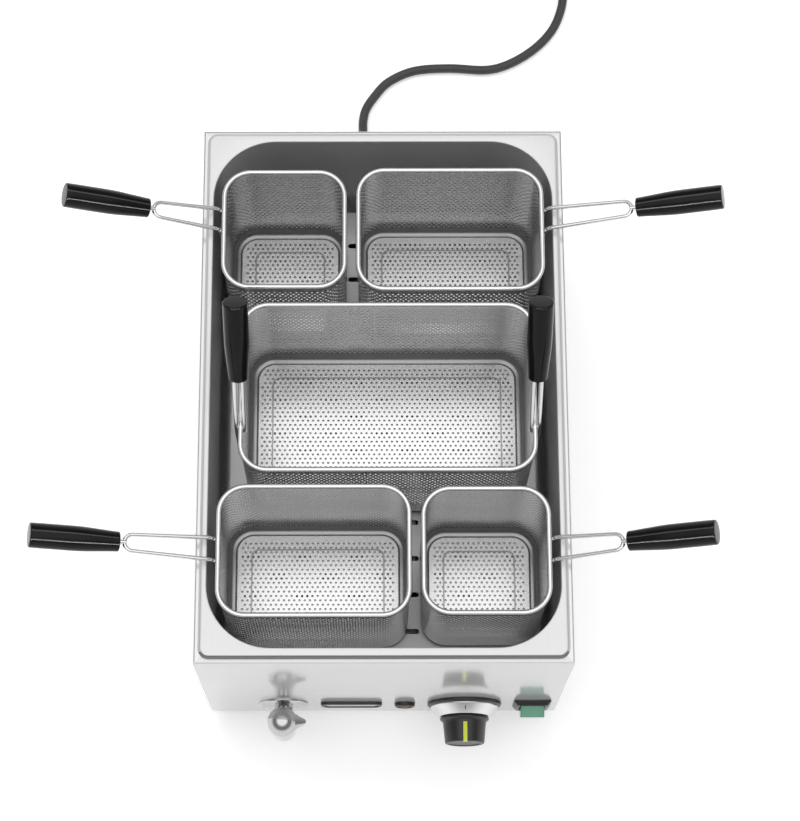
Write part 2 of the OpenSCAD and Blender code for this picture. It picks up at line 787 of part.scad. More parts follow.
// Rim and handle wire of a corner basket, with the rim's middle at z = 0 and the handle towards +X
module corner_frame(w, l, rise, reach, shift) {
    leg_x = w / 2 - rim_d / 2 + leg_out;
    turn = 90 - rise;
    run = reach - wire_gap / 2 - stem_show;
    color("silver") {
        basket_rim(w, l);
        for (s = [-1, 1]) translate([0, shift + s * wire_gap / 2, 0]) {
            rod([leg_x, 0, -wire_leg], [leg_x, 0, 0], wire_d);
            translate([leg_x + wire_bend, 0, 0]) rotate([-90, 0, 0]) wire_arc(wire_bend, wire_d, 180, turn);
        }
        on_slope(w, rise, shift) {
            for (s = [-1, 1]) translate([0, s * wire_gap / 2, 0]) {
                sphere(d = wire_d + bead);
                rod([0, 0, 0], [run, 0, 0], wire_d);
            }
            translate([run, 0, 0]) wire_arc(wire_gap / 2, wire_d, -90, 180);
            rod([run + wire_gap / 2, 0, 0], [reach + grip_hole - 1, 0, 0], stem_d);
        }
    }
}

// A grip along +Z from its wire end, with holes of the given diameter at the given x
module grip(hole_d, holes) {
    color("black") difference() {
        rotate_extrude() polygon([
            [0, 0], [grip_neck_d / 2 - grip_edge, 0], [grip_neck_d / 2, grip_edge], [grip_d / 2, grip_taper],
            [grip_d / 2, grip_l - grip_edge], [grip_d / 2 - grip_edge, grip_l], [0, grip_l]
        ]);
        for (x = holes) translate([x, 0, -1]) cylinder(h = grip_hole + 1, d = hole_d + 2 * grip_fit);
    }
}

module corner_grip(w, rise, reach, shift) {
    on_slope(w, rise, shift) translate([reach, 0, 0]) rotate([0, 90, 0]) grip(stem_d, [0]);
}

// Places a corner basket's piece: s is the side of the tank, row the rear (1) or front (-1)
module at_corner(s, x, row, z) {
    seat() translate([s * x, row * row_y, z]) rotate([0, 0, s > 0 ? 0 : 180]) children();
}

module rear_left_basket() {
    at_corner(-1, small_x, 1, plate_z) basket_shell(small_w, small_l);
}

module rear_left_frame() {
    at_corner(-1, small_x, 1, rim_z)
        corner_frame(small_w, small_l, small_rise, small_reach, -rear_handle_back);
}

module rear_left_grip() {
    at_corner(-1, small_x, 1, rim_z) corner_grip(small_w, small_rise, small_reach, -rear_handle_back);
}

module front_right_basket() {
    at_corner(1, small_x, -1, plate_z) basket_shell(small_w, small_l);
}

module front_right_frame() {
    at_corner(1, small_x, -1, rim_z) corner_frame(small_w, small_l, small_rise, small_reach, 0);
}

module front_right_grip() {
    at_corner(1, small_x, -1, rim_z) corner_grip(small_w, small_rise, small_reach, 0);
}

module rear_right_basket() {
    at_corner(1, medium_x, 1, plate_z) basket_shell(medium_w, medium_l);
}

module rear_right_frame() {
    at_corner(1, medium_x, 1, rim_z)
        corner_frame(medium_w, medium_l, medium_rise, medium_reach, rear_handle_back);
}

module rear_right_grip() {
    at_corner(1, medium_x, 1, rim_z) corner_grip(medium_w, medium_rise, medium_reach, rear_handle_back);
}

module front_left_basket() {
    at_corner(-1, medium_x, -1, plate_z) basket_shell(medium_w, medium_l);
}

module front_left_frame() {
    at_corner(-1, medium_x, -1, rim_z) corner_frame(medium_w, medium_l, medium_rise, medium_reach, 0);
}

module front_left_grip() {
    at_corner(-1, medium_x, -1, rim_z) corner_grip(medium_w, medium_rise, medium_reach, 0);
}

module at_middle(z) {
    seat() translate([large_x, 0, z]) children();
}

// Carries a piece to a handle of the large basket, where +Z runs along the handle
module on_lean(s) {
    translate([s * (large_w - rim_d) / 2, -large_attach, 0]) rotate([-large_lean, 0, 0]) children();
}

module middle_basket() {
    at_middle(plate_z) basket_shell(large_w, large_l);
}

// One wire of a large-basket handle at x: down the wall by foot, and up the handle's lean into the grip
module hairpin_leg(x, foot) {
    translate([x, -large_attach, 0]) union() {
        translate([0, 0, -foot]) cylinder(h = foot, d = wire_d);
        sphere(d = wire_d + bead);
        rotate([-large_lean, 0, 0]) cylinder(h = large_reach + grip_hole - 1, d = wire_d);
    }
}

// Rim of the large basket with a hairpin of wire astride it at each side
module middle_frame() {
    side = (large_w - rim_d) / 2;
    at_middle(rim_z) color("silver") {
        basket_rim(large_w, large_l);
        for (s = [-1, 1]) for (k = [-1, 1])
            hairpin_leg(s * (side + k * hairpin_gap / 2), k > 0 ? wire_leg : rim_d);
    }
}

module middle_left_grip() {
    at_middle(rim_z) on_lean(-1) translate([0, 0, large_reach])
        grip(wire_d, [-hairpin_gap / 2, hairpin_gap / 2]);
}

module middle_right_grip() {
    at_middle(rim_z) on_lean(1) translate([0, 0, large_reach])
        grip(wire_d, [-hairpin_gap / 2, hairpin_gap / 2]);
}

// A tubular element in four runs under the false bottom, its ends going down through the floor
module heating_element() {
    runs = [-3, -1, 1, 3];
    front = -element_y + element_r;
    back = element_y - element_r;
    color("gray") seat() translate([0, 0, element_z]) {
        for (k = runs) {
            stop = abs(k) > 1 ? element_y : back;
            rod([k * element_r, front, 0], [k * element_r, stop, 0], element_d);
        }
        for (s = [-1, 1]) translate([s * 2 * element_r, front, 0]) wire_arc(element_r, element_d, 180, 180);
        translate([0, back, 0]) wire_arc(element_r, element_d, 0, 180);
        for (s = [-1, 1]) translate([s * 3 * element_r, 0, 0]) {
            translate([0, element_y, -element_drop_r])
                rotate([90, 0, 90]) wire_arc(element_drop_r, element_d, 0, 90);
            rod([0, gland_y, -element_drop_r],
                [0, gland_y, tank_under_z - element_z - element_tail], element_d);
        }
    }
}

// Collars and nuts that seal the element's ends and the capillary tube in the tank's floor
module floor_glands() {
    color("goldenrod") seat() {
        at_glands() floor_gland(gland_d, gland_d / 2 + 4, element_d);
        translate([capillary_x, capillary_y, tank_floor_z])
            floor_gland(gland_d / 1.5, capillary_d + 4, capillary_d);
    }
}

module floor_gland(d, barrel, bore) {
    difference() {
        union() {
            translate([0, 0, -tank_wall - gland_nut_t]) cylinder(h = gland_nut_t, d = d);
            translate([0, 0, -tank_wall - 1]) cylinder(h = tank_wall + 2, d = barrel);
            cylinder(h = gland_flange_t, d = d);
        }
        cylinder(h = 40, d = bore + 2 * seat_clear, center = true);
    }
}

module sensing_bulb() {
    color("goldenrod") seat() {
        rod([bulb_x, bulb_y, bulb_z], [bulb_x, bulb_y + bulb_l, bulb_z], bulb_d);
        for (k = [0.2, 0.8])
            translate([bulb_x, bulb_y + k * bulb_l, (tank_floor_z + bulb_z) / 2])
                cube([bulb_d, 2, bulb_z - tank_floor_z], center = true);
    }
}

module capillary_tube() {
    turn_y = capillary_y + capillary_r;
    join_y = bulb_y - 2 * capillary_d;
    color("goldenrod") seat() {
        rod([capillary_x, capillary_y, capillary_foot_z],
            [capillary_x, capillary_y, bulb_z - capillary_r], capillary_d);
        translate([capillary_x, turn_y, bulb_z - capillary_r]) rotate([90, 0, 90])
            wire_arc(capillary_r, capillary_d, 90, 90);
        translate([capillary_x, turn_y, bulb_z]) sphere(d = capillary_d);
        rod([capillary_x, turn_y, bulb_z], [bulb_x, join_y, bulb_z], capillary_d);
        translate([bulb_x, join_y, bulb_z]) sphere(d = capillary_d + bead);
        rod([bulb_x, join_y, bulb_z], [bulb_x, bulb_y, bulb_z], capillary_d);
    }
}

module overheat_cutout() {
    color("saddlebrown") seat() translate([0, 0, tank_under_z - cutout_h]) {
        cylinder(h = cutout_h, d = cutout_d);
        for (s = [-1, 1]) translate([s * cutout_d / 4, 0, -cutout_h / 2])
            cube([1, 6, cutout_h + 1], center = true);
    }
}

module terminal_block() {
    poles = 3;
    pitch = 14;
    l = 22;
    h = 20;
    color("beige") seat() translate([gland_x, rear_y - 70, base_z + sheet]) difference() {
        translate([0, 0, h / 2]) cube([poles * pitch, l, h], center = true);
        for (i = [0 : poles - 1]) translate([(i - (poles - 1) / 2) * pitch, 0, 0]) {
            translate([0, 0, h / 2]) rotate([90, 0, 0]) cylinder(h = 2 * l, d = 4, center = true);
            for (s = [-1, 1]) translate([0, s * l / 4, h / 2]) cylinder(h = h, d = 5);
        }
    }
}

module thermostat_case() {
    bush_l = dial_base_t + sheet + 2;
    color("beige") seat() on_front(knob_x, control_z) difference() {
        union() {
            translate([0, 0, -sheet - thermostat_l / 2])
                cube([thermostat_w, thermostat_h, thermostat_l], center = true);
            translate([0, 0, -sheet - 1]) cylinder(h = bush_l + 1, d = bush_d);
        }
        translate([0, 0, -sheet - thermostat_l + 6])
            cylinder(h = thermostat_l + bush_l, d = spindle_d + 2 * run_clear);
    }
}

module thermostat_spindle() {
    color("silver") seat()
        rod([knob_x, spindle_back_y, control_z],
            [knob_x, knob_back_y - knob_bore_l + 0.5, control_z], spindle_d);
}

module dial_base() {
    color("black") seat() on_front(knob_x, control_z) difference() {
        cylinder(h = dial_base_t, d = dial_base_d);
        cylinder(h = 3 * dial_base_t, d = bush_d + 2 * seat_clear, center = true);
    }
}

module dial_ring() {
    color("silver") seat() on_front(knob_x, control_z) translate([0, 0, dial_base_t]) difference() {
        cylinder(h = dial_h, d1 = dial_d, d2 = dial_front_d);
        cylinder(h = 3 * dial_h, d = bush_d + 2, center = true);
    }
}

// The knob stands on its skirt, with its front face at z = knob_l
module knob_solid() {
    cylinder(h = knob_skirt_t, d = knob_skirt_d);
    translate([0, 0, knob_skirt_t]) cylinder(h = knob_l - knob_skirt_t, d1 = knob_d, d2 = knob_front_d);
}

// The pointer's line along the top of the knob and down its face, grown by the given clearance
module pointer_line(grow) {
    line_l = (knob_l - knob_skirt_t) / cos(pointer_slope);
    w = pointer_w + 2 * grow;
    t = pointer_t + grow;
    translate([0, knob_d / 2, knob_skirt_t]) rotate([pointer_slope, 0, 0]) translate([-w / 2, -t, 4])
        cube([w, 2 * t, line_l]);
    translate([-w / 2, pointer_foot - grow, knob_l - t]) cube([w, knob_d / 2 - pointer_foot, 2 * t]);
}

module thermostat_knob() {
    color("black") seat() on_front(knob_x, control_z)
        translate([0, 0, dial_base_t + dial_h + knob_gap]) difference() {
        knob_solid();
        pointer_line(grip_fit);
        translate([0, 0, -1]) cylinder(h = knob_bore_l + 1, d = spindle_d + 2 * grip_fit);
    }
}

module knob_pointer() {
    color("yellow") seat() on_front(knob_x, control_z) translate([0, 0, dial_base_t + dial_h + knob_gap])
        intersection() {
            knob_solid();
            pointer_line(0);
        }
}

module thermometer_bezel() {
    color("black") seat() on_front(gauge_x, control_z) difference() {
        union() {
            linear_extrude(height = gauge_t) rounded_rect(gauge_w, gauge_h, gauge_h * gauge_round);
            translate([0, 0, -sheet - gauge_l]) linear_extrude(height = gauge_l + sheet + 1)
                rounded_rect(gauge_body_w, gauge_body_h, gauge_body_h / 3);
        }
        translate([0, 0, gauge_t - gauge_window_t - 0.5]) linear_extrude(height = gauge_t)
            rounded_rect(gauge_w - 2 * gauge_edge, gauge_h - 2 * gauge_edge,
                         (gauge_h - 2 * gauge_edge) * gauge_round);
    }
}

module thermometer_window() {
    w = gauge_w - 2 * gauge_edge - 2 * seat_clear;
    h = gauge_h - 2 * gauge_edge - 2 * seat_clear;
    color("darkgray") seat() on_front(gauge_x, control_z) translate([0, 0, gauge_t - gauge_window_t - 0.5])
        linear_extrude(height = gauge_window_t) rounded_rect(w, h, h * gauge_round);
}

module lamp_bezel() {
    color("black") seat() on_front(lamp_x, control_z) difference() {
        union() {
            cylinder(h = lamp_t, d1 = lamp_d, d2 = lamp_d - 1.5);
            translate([0, 0, -sheet - lamp_l]) cylinder(h = lamp_l + sheet + 1, d = lamp_body_d);
        }
        translate([0, 0, -6]) cylinder(h = lamp_t + 7, d = lamp_lens_d + 2 * seat_clear);
    }
}

module lamp_lens() {
    dome = lamp_lens_d / 4;
    color("orange") seat() on_front(lamp_x, control_z) {
        translate([0, 0, -6]) cylinder(h = lamp_t + 6, d = lamp_lens_d);
        translate([0, 0, lamp_t]) cylinder(h = dome, d1 = lamp_lens_d, d2 = lamp_lens_d - 2 * dome);
    }
}

// A bar whose section tapers by the bezel's slope over its thickness
module sloped_bar(w, l) {
    rotate([90, 0, 0]) linear_extrude(height = l, center = true) polygon([
        [-w / 2, 0], [w / 2, 0], [w / 2 - switch_chamfer, switch_t], [switch_chamfer - w / 2, switch_t]
    ]);
}

module switch_bezel() {
    open_w = rocker_w + 2 * rocker_side;
    open_h = rocker_h + 2 * rocker_room;
    color("black") seat() on_front(switch_x, control_z) difference() {
        union() {
            intersection() {
                sloped_bar(switch_w, switch_h);
                rotate([0, 0, 90]) sloped_bar(switch_h, switch_w);
            }
            translate([0, 0, -(sheet + switch_l - 1) / 2])
                cube([switch_body_w, switch_body_h, sheet + switch_l + 1], center = true);
        }
        translate([0, 0, switch_t - switch_floor / 2])
            cube([open_w, open_h, switch_t + switch_floor], center = true);
        translate([0, 0, rocker_pivot]) rotate([0, 90, 0])
            cylinder(h = open_w + 2 * rocker_peg_l + 1, d = rocker_peg_d + 2 * run_clear, center = true);
    }
}

// The rocker on its pivot pegs, shown with its upper end out
module switch_rocker() {
    half = rocker_h / 2;
    color("mediumseagreen") seat() on_front(switch_x, control_z) translate([0, 0, rocker_pivot])
        rotate([rocker_tilt, 0, 0]) {
            rotate([90, 0, 90]) linear_extrude(height = rocker_w, center = true) polygon([
                [-half, rocker_out + rocker_dish], [0, rocker_out], [half, rocker_out + rocker_dish],
                [half, 0], [0, -rocker_back], [-half, 0]
            ]);
            rotate([0, 90, 0])
                cylinder(h = rocker_w + 2 * rocker_side + 2 * rocker_peg_l, d = rocker_peg_d, center = true);
        }
}

module tap_escutcheon() {
    color("silver") seat() on_front(tap_x, control_z) difference() {
        cylinder(h = escutcheon_t, d1 = escutcheon_d, d2 = escutcheon_d - escutcheon_t);
        cylinder(h = 3 * escutcheon_t, d = shank_d + 2 * seat_clear, center = true);
    }
}

module tap_lock_nut() {
    color("goldenrod") seat() translate([tap_x, front_y + sheet, control_z])
        rotate([-90, 0, 0]) difference() {
        cylinder(h = lock_nut_t, d = lock_nut_w / cos(30), $fn = 6);
        cylinder(h = 3 * lock_nut_t, d = shank_d + 2 * seat_clear, center = true);
    }
}

// The tap's fixed barrel with its shank to the tank and its spout down
module tap_barrel() {
    color("silver") seat() difference() {
        union() {
            rod([tap_x, tap_y, control_z], [tap_x, shank_back_y, control_z], shank_d);
            translate([tap_x, tap_y, barrel_foot_z])
                cylinder(h = barrel_top_z - barrel_foot_z, d = barrel_d);
            translate([tap_x, tap_y, barrel_foot_z - spout_l]) cylinder(h = spout_l + 1, d = spout_d);
        }
        rod([tap_x, tap_y, control_z], [tap_x, shank_back_y + 1, control_z], drain_bore);
        translate([tap_x, tap_y, plug_foot_z])
            cylinder(h = barrel_up + barrel_down + 20, d = plug_d + 2 * run_clear);
        translate([tap_x, tap_y, barrel_foot_z - spout_l - 1])
            cylinder(h = barrel_down + spout_l + 1, d = drain_bore);
    }
}

// The turning plug: its side port looks left when shut, and towards the tank when open
module tap_plug() {
    port = drain_bore - 2;
    color("goldenrod") seat() translate([tap_x, tap_y, 0]) difference() {
        union() {
            translate([0, 0, plug_foot_z + run_clear])
                cylinder(h = lever_z - plug_foot_z - run_clear, d = plug_d);
            translate([0, 0, lever_z - 1]) cylinder(h = neck_l + 1, d = neck_d);
        }
        translate([0, 0, plug_foot_z - 1]) cylinder(h = control_z - plug_foot_z + 1, d = port);
        rod([0, 0, control_z], [-plug_d, 0, control_z], port);
    }
}

module tap_lever() {
    color("silver") seat() translate([tap_x, tap_y, lever_mid_z]) difference() {
        union() {
            sphere(r = lever_r);
            rotate([0, 90, 0]) cylinder(h = lever_reach, r1 = lever_r - 1, r2 = lever_tip_r);
        }
        translate([0, 0, -lever_cut - 2 * lever_r])
            cube([4 * lever_r, 4 * lever_r, 4 * lever_r], center = true);
        translate([0, 0, -lever_cut - 1]) cylinder(h = neck_l + 1.5, d = neck_d + 2 * grip_fit);
    }
}

// The drain pipe, from the tank's floor down and forward to the tap's shank
module drain_pipe() {
    color("silver") seat() translate([tap_x, 0, 0]) difference() {
        drain_run(pipe_d, 0);
        drain_run(drain_bore, 1);
    }
}

module drain_run(d, over) {
    bend_z = control_z + pipe_r;
    rod([0, drain_y, bend_z], [0, drain_y, tank_under_z + over], d);
    translate([0, drain_y - pipe_r, bend_z]) rotate([90, 0, 90]) wire_arc(pipe_r, d, 270, 90);
    rod([0, drain_y - pipe_r, control_z], [0, shank_back_y - over, control_z], d);
}

// Pieces of the mains lead, in places measured from the rear panel
module cord_gland() {
    color("black") behind() translate([gland_x, 0, gland_z]) rotate([-90, 0, 0]) difference() {
        union() {
            cylinder(h = collar_t, d = collar_d);
            translate([0, 0, -sheet - thread_l]) cylinder(h = thread_l + sheet + 1, d = thread_d);
        }
        cylinder(h = 4 * thread_l, d = relief_end_d + 1, center = true);
    }
}

module gland_nut() {
    color("black") behind() translate([gland_x, -sheet, gland_z]) rotate([90, 0, 0]) difference() {
        cylinder(h = lock_nut_t, d = collar_d / cos(30), $fn = 6);
        cylinder(h = 3 * lock_nut_t, d = thread_d + 2 * seat_clear, center = true);
    }
}

module strain_relief() {
    color("black") behind() translate([gland_x, collar_t, gland_z]) rotate([-90, 0, 0])
        cylinder(h = relief_l, d1 = collar_d - 8, d2 = relief_end_d);
}

module cord_lead() {
    color("dimgray") behind() tube(lead_path, cord_r, lead_sides);
}

module cord_coil() {
    color("dimgray") behind() tube(coil_path, cord_r, coil_sides);
}

// A band round the coil's bundle at its left, where the turns of each layer lie side by side
module cord_tie() {
    turns = [for (k = [0.5 : 1 : coil_turns]) abs(k - coil_mid) * coil_step];
    room = coil_gap + coil_r_in * (1 - cos(180 / coil_rings));
    near = coil_r_in + min(turns) - cord_r - room;
    far = coil_r_in + max(turns) + cord_r + room;
    low = coil_low - cord_r - coil_gap / 2;
    high = coil_high + cord_r + coil_gap / 2;
    color("black") behind() translate([coil_x - (near + far) / 2, coil_y, (low + high) / 2]) difference() {
        cube([far - near + 2 * tie_t, tie_w, high - low + 2 * tie_t], center = true);
        cube([far - near, 2 * tie_w, high - low], center = true);
    }
}

// Carries a piece to the plug, where +Z runs out of it along the lead's own direction
module at_plug() {
    translate([plug_at[0], plug_at[1], plug_z]) rotate([0, 90, atan2(tail_dir[1], tail_dir[0])]) children();
}

module plug_body() {
    color("black") behind() at_plug() difference() {
        union() {
            cylinder(h = plug_neck_l, d1 = cord_d + 4, d2 = plug_body_d / 2);
            translate([0, 0, plug_neck_l])
                cylinder(h = plug_body_l / 3, d1 = plug_body_d / 2, d2 = plug_body_d);
            translate([0, 0, plug_neck_l + plug_body_l / 3])
                cylinder(h = plug_body_l * 2 / 3, d = plug_body_d);
        }
        at_pins() cylinder(h = pin_l, d = pin_d + 2 * seat_clear, center = true);
    }
}

module at_pins() {
    for (s = [-1, 1]) translate([0, s * pin_gap / 2, plug_neck_l + plug_body_l]) children();
}

module plug_pins() {
    color("silver") behind() at_plug() at_pins() translate([0, 0, -pin_l / 2])
        cylinder(h = pin_l * 3 / 2, d = pin_d);
}

left_side_panel();
right_side_panel();
rear_panel();
front_panel();
base_plate();
deck();
tank();
false_bottom();
feet();
foot_screws();
base_screws();
heating_element();
floor_glands();
sensing_bulb();
capillary_tube();
overheat_cutout();
terminal_block();
thermostat_case();
thermostat_spindle();
thermostat_knob();
knob_pointer();
dial_ring();
dial_base();
thermometer_bezel();
thermometer_window();
lamp_bezel();
lamp_lens();
switch_bezel();
switch_rocker();
tap_barrel();
tap_escutcheon();
tap_lock_nut();
tap_plug();
tap_lever();
drain_pipe();
rear_left_basket();
rear_left_frame();
rear_left_grip();
rear_right_basket();
rear_right_frame();
rear_right_grip();
front_left_basket();
front_left_frame();
front_left_grip();
front_right_basket();
front_right_frame();
front_right_grip();
middle_basket();
middle_frame();
middle_left_grip();
middle_right_grip();
cord_gland();
gland_nut();
strain_relief();
cord_lead();
cord_coil();
cord_tie();
plug_body();
plug_pins();
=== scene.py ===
# %% [markdown]
# # A countertop pasta cooker
# A steel casing with a sunk tank holds five lift-out baskets of perforated sheet on wire handles. The
# front carries a drain tap, a thermometer, a pilot lamp, a thermostat knob and a rocker switch, and a
# mains lead leaves at the rear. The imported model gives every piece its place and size. The surfaces that
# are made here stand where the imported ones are, with the bends, holes and finishes that sheet steel and
# wire really have.

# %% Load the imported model
import json
import math

import bmesh
import bpy
import numpy as np
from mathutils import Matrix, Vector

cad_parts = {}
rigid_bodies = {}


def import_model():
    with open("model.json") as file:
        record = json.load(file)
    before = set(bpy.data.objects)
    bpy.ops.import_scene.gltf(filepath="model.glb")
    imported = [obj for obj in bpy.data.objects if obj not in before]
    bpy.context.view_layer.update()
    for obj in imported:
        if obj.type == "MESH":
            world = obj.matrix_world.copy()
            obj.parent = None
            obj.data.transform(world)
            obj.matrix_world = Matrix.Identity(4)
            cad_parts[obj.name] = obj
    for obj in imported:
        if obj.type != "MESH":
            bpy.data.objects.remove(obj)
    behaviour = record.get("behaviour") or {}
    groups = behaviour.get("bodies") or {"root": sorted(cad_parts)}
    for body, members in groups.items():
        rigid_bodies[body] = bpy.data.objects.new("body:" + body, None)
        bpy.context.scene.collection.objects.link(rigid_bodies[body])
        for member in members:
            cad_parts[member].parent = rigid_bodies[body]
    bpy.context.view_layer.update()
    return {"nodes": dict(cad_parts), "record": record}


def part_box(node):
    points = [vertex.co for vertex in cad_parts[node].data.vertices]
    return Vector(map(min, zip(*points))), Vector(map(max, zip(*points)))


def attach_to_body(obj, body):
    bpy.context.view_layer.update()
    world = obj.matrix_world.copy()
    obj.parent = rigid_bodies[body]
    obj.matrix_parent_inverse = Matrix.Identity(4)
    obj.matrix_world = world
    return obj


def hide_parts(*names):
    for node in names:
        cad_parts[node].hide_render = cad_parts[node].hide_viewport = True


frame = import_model()
MM = 0.001

# %% [markdown]
# ## Camera
# The view is from high in front: the camera looks almost straight down, a little towards the rear. Its
# place comes from fitting the casing's corners and the baskets' rims, and a small lens shift sets the
# framing.

# %% Camera
camera_data = bpy.data.cameras.new("view_from_above")
camera_data.lens = 97.0
camera_data.sensor_width = 36.0
camera_data.shift_x = 0.03
camera_data.shift_y = 0.08
camera_data.clip_end = 50.0
camera = bpy.data.objects.new("view_from_above", camera_data)
camera.location = (-0.0082, -0.6159, 2.2010)
camera.rotation_euler = (math.radians(15.90), 0.0, math.radians(-0.08))
bpy.context.scene.collection.objects.link(camera)
bpy.context.scene.camera = camera
bpy.context.scene.view_settings.view_transform = "Standard"
print("camera height", camera.location.z)

# %% [markdown]
# ## Finishes
# A finish is a Principled shader whose colour and gloss vary a little over the surface, as rolled steel,
# moulded plastic and rubber do. Writing the shader's maths as Python keeps it readable, so a small class
# wraps a socket and adds a Math node whenever it is used in an expression. Patterns read Object
# coordinates, because every piece lies at the origin and its place is in its mesh.

# %% Sockets that can be added and multiplied
def math_method(operation, turned=False):
    """A method that adds one Math node; turned puts the other value first, as in 1 - mask."""
    def method(self, other):
        first, second = (other, self) if turned else (self, other)
        return self.nodes.node("ShaderNodeMath", {"operation": operation}, {0: first, 1: second})
    return method


class Wire:
    """A node's output. Sums, products and powers of wires become Math nodes."""

    __add__, __radd__ = math_method("ADD"), math_method("ADD", True)
    __sub__, __rsub__ = math_method("SUBTRACT"), math_method("SUBTRACT", True)
    __mul__, __rmul__ = math_method("MULTIPLY"), math_method("MULTIPLY", True)
    __pow__, __rpow__ = math_method("POWER"), math_method("POWER", True)
    __lt__, __gt__ = math_method("LESS_THAN"), math_method("GREATER_THAN")

    def __init__(self, nodes, socket):
        self.nodes = nodes
        self.socket = socket

    def __abs__(self):
        return self.nodes.node("ShaderNodeMath", {"operation": "ABSOLUTE"}, {0: self})

    def sibling(self, output):
        """Another output of the same node."""
        return Wire(self.nodes, self.socket.node.outputs[output])


def set_stops(elements, stops):
    """Gives a colour ramp its stops, each a position and a colour."""
    for position, colour in stops[1:-1]:
        elements.new(position).color = colour
    for end in (0, -1):
        elements[end].position, elements[end].color = stops[end]


class Nodes:
    """A node tree that grows one node at a time."""

    def __init__(self, tree):
        self.tree = tree

    def node(self, kind, settings=None, inputs=None, out=0):
        """Adds a node, applies its settings, then sets or links its inputs. Returns the chosen output."""
        made = self.tree.nodes.new(kind)
        for key, value in (settings or {}).items():
            if key == "stops":
                set_stops(made.color_ramp.elements, value)
            else:
                setattr(made, key, value)
        for key, value in (inputs or {}).items():
            if isinstance(value, Wire):
                self.tree.links.new(value.socket, made.inputs[key])
            else:
                made.inputs[key].default_value = value
        return Wire(self, made.outputs[out])


class Finish(Nodes):
    """A material with one Principled shader. Its constants go by socket name, with _ for a space."""

    def __init__(self, name, **values):
        self.name = name
        self.material = bpy.data.materials.new(name)
        self.material.use_nodes = True
        super().__init__(self.material.node_tree)
        self.shader = self.tree.nodes["Principled BSDF"]
        for socket, value in values.items():
            self.shader.inputs[socket.replace("_", " ")].default_value = value
        self.place = self.node("ShaderNodeTexCoord", out="Object")

    def axes(self):
        """The three coordinates as separate wires, in metres."""
        split = self.node("ShaderNodeSeparateXYZ", inputs={0: self.place})
        return [split.sibling(k) for k in range(3)]

    def noise(self, scale, detail, stretch=(1.0, 1.0, 1.0)):
        """Noise from 0 to 1, with its grain drawn out along an axis by a small stretch value."""
        mapped = self.node("ShaderNodeMapping", inputs={"Vector": self.place, "Scale": stretch})
        return self.node("ShaderNodeTexNoise", inputs={"Vector": mapped, "Scale": scale, "Detail": detail})

    def mix(self, factor, first, second):
        """Mixes two colours."""
        return self.node("ShaderNodeMix", {"data_type": "RGBA"}, {0: factor, 6: first, 7: second}, out=2)

    def bump(self, height, strength, distance):
        """A normal tilted by a height pattern whose relief is the distance, in metres."""
        values = {"Height": height, "Strength": strength, "Distance": distance}
        return self.node("ShaderNodeBump", inputs=values)

    def feed(self, socket, wire):
        """Links a wire to one of the shader's sockets."""
        self.tree.links.new(wire.socket, self.shader.inputs[socket])


def grey(level, warm=0.0):
    """A grey, turned a little warm (positive) or cold (negative)."""
    return (level * (1 + warm), level, level * (1 - warm), 1.0)


# %% [markdown]
# ### Steel, plastic and rubber
# Rolled sheet shows fine straight streaks along its rolling direction and soft cloudy patches. The
# streaks are noise stretched a hundredfold along one axis, and the patches are large soft noise. Both
# move the roughness a little, and the colour less. Plastic and rubber have soft patches too, and a fine
# pebble in the surface. The deck's steel also carries painted shade: it is darker below its top edge,
# most of all in front.

# %% Steel, plastic and rubber
STREAK_STRETCH = 0.012
PAINTED_SHADE_LEVEL = 0.30


def sheet_steel(name, level, rough, streak_axis, metal=1.0, streak=0.05, warm=0.0, painted_foot_shade=None):
    """Rolled steel: colour and roughness follow streaks along an axis and broad cloudy patches. The last
    argument, a front y and a top z, paints shade: below the top the steel is darker, most of all in front."""
    finish = Finish(name, Metallic=metal, IOR=1.6)
    stretch = [1.0, 1.0, 1.0]
    stretch[streak_axis] = STREAK_STRETCH
    streaks = finish.noise(420.0, 3.0, tuple(stretch))
    patches = finish.noise(9.0, 2.0)
    shade = finish.mix(streaks * 0.6 + patches * 0.4, grey(level * 0.94, warm), grey(level * 1.04, warm))
    # Painted shade: below the top the steel is darkened, fully near the front and less elsewhere, standing
    # in for the shade under the deck's edge.
    if painted_foot_shade:
        _, y, z = finish.axes()
        front, top = painted_foot_shade
        gap = (z < top) * ((y < front) * 0.7 + 0.3)
        shade = finish.mix(gap, shade, grey(level * PAINTED_SHADE_LEVEL))
    finish.feed("Base Color", shade)
    finish.feed("Roughness", rough + (streaks - 0.5) * streak * 2 + (patches - 0.5) * 0.06)
    return finish


def marked_metal(name, dark, light, rough, spread=0.07, scale=160.0, detail=4.0):
    """Polished or machined metal: faint marks move the colour and the roughness."""
    finish = Finish(name, Metallic=1.0)
    marks = finish.noise(scale, detail)
    finish.feed("Base Color", finish.mix(marks, dark, light))
    finish.feed("Roughness", rough + marks * spread)
    return finish


def drawn_wire(name, level, rough):
    """Polished grey metal."""
    return marked_metal(name, grey(level * 0.95), grey(level * 1.03), rough)


def moulded(name, colour, rough, grain, coat=0.0, coat_rough=0.1, gloss=0.5):
    """Moulded plastic or rubber: a faint pebble in the surface and slightly uneven gloss."""
    finish = Finish(name, IOR=1.5, Specular_IOR_Level=gloss, Coat_Weight=coat, Coat_Roughness=coat_rough)
    patches = finish.noise(35.0, 3.0)
    lighter = (*(min(1.0, c * 1.18 + 0.001) for c in colour), 1.0)
    darker = (*(c * 0.86 for c in colour), 1.0)
    finish.feed("Base Color", finish.mix(patches, darker, lighter))
    finish.feed("Roughness", rough + (patches - 0.5) * 0.12)
    if grain:
        finish.feed("Normal", finish.bump(finish.noise(1600.0, 2.0), grain, 0.0002))
    return finish


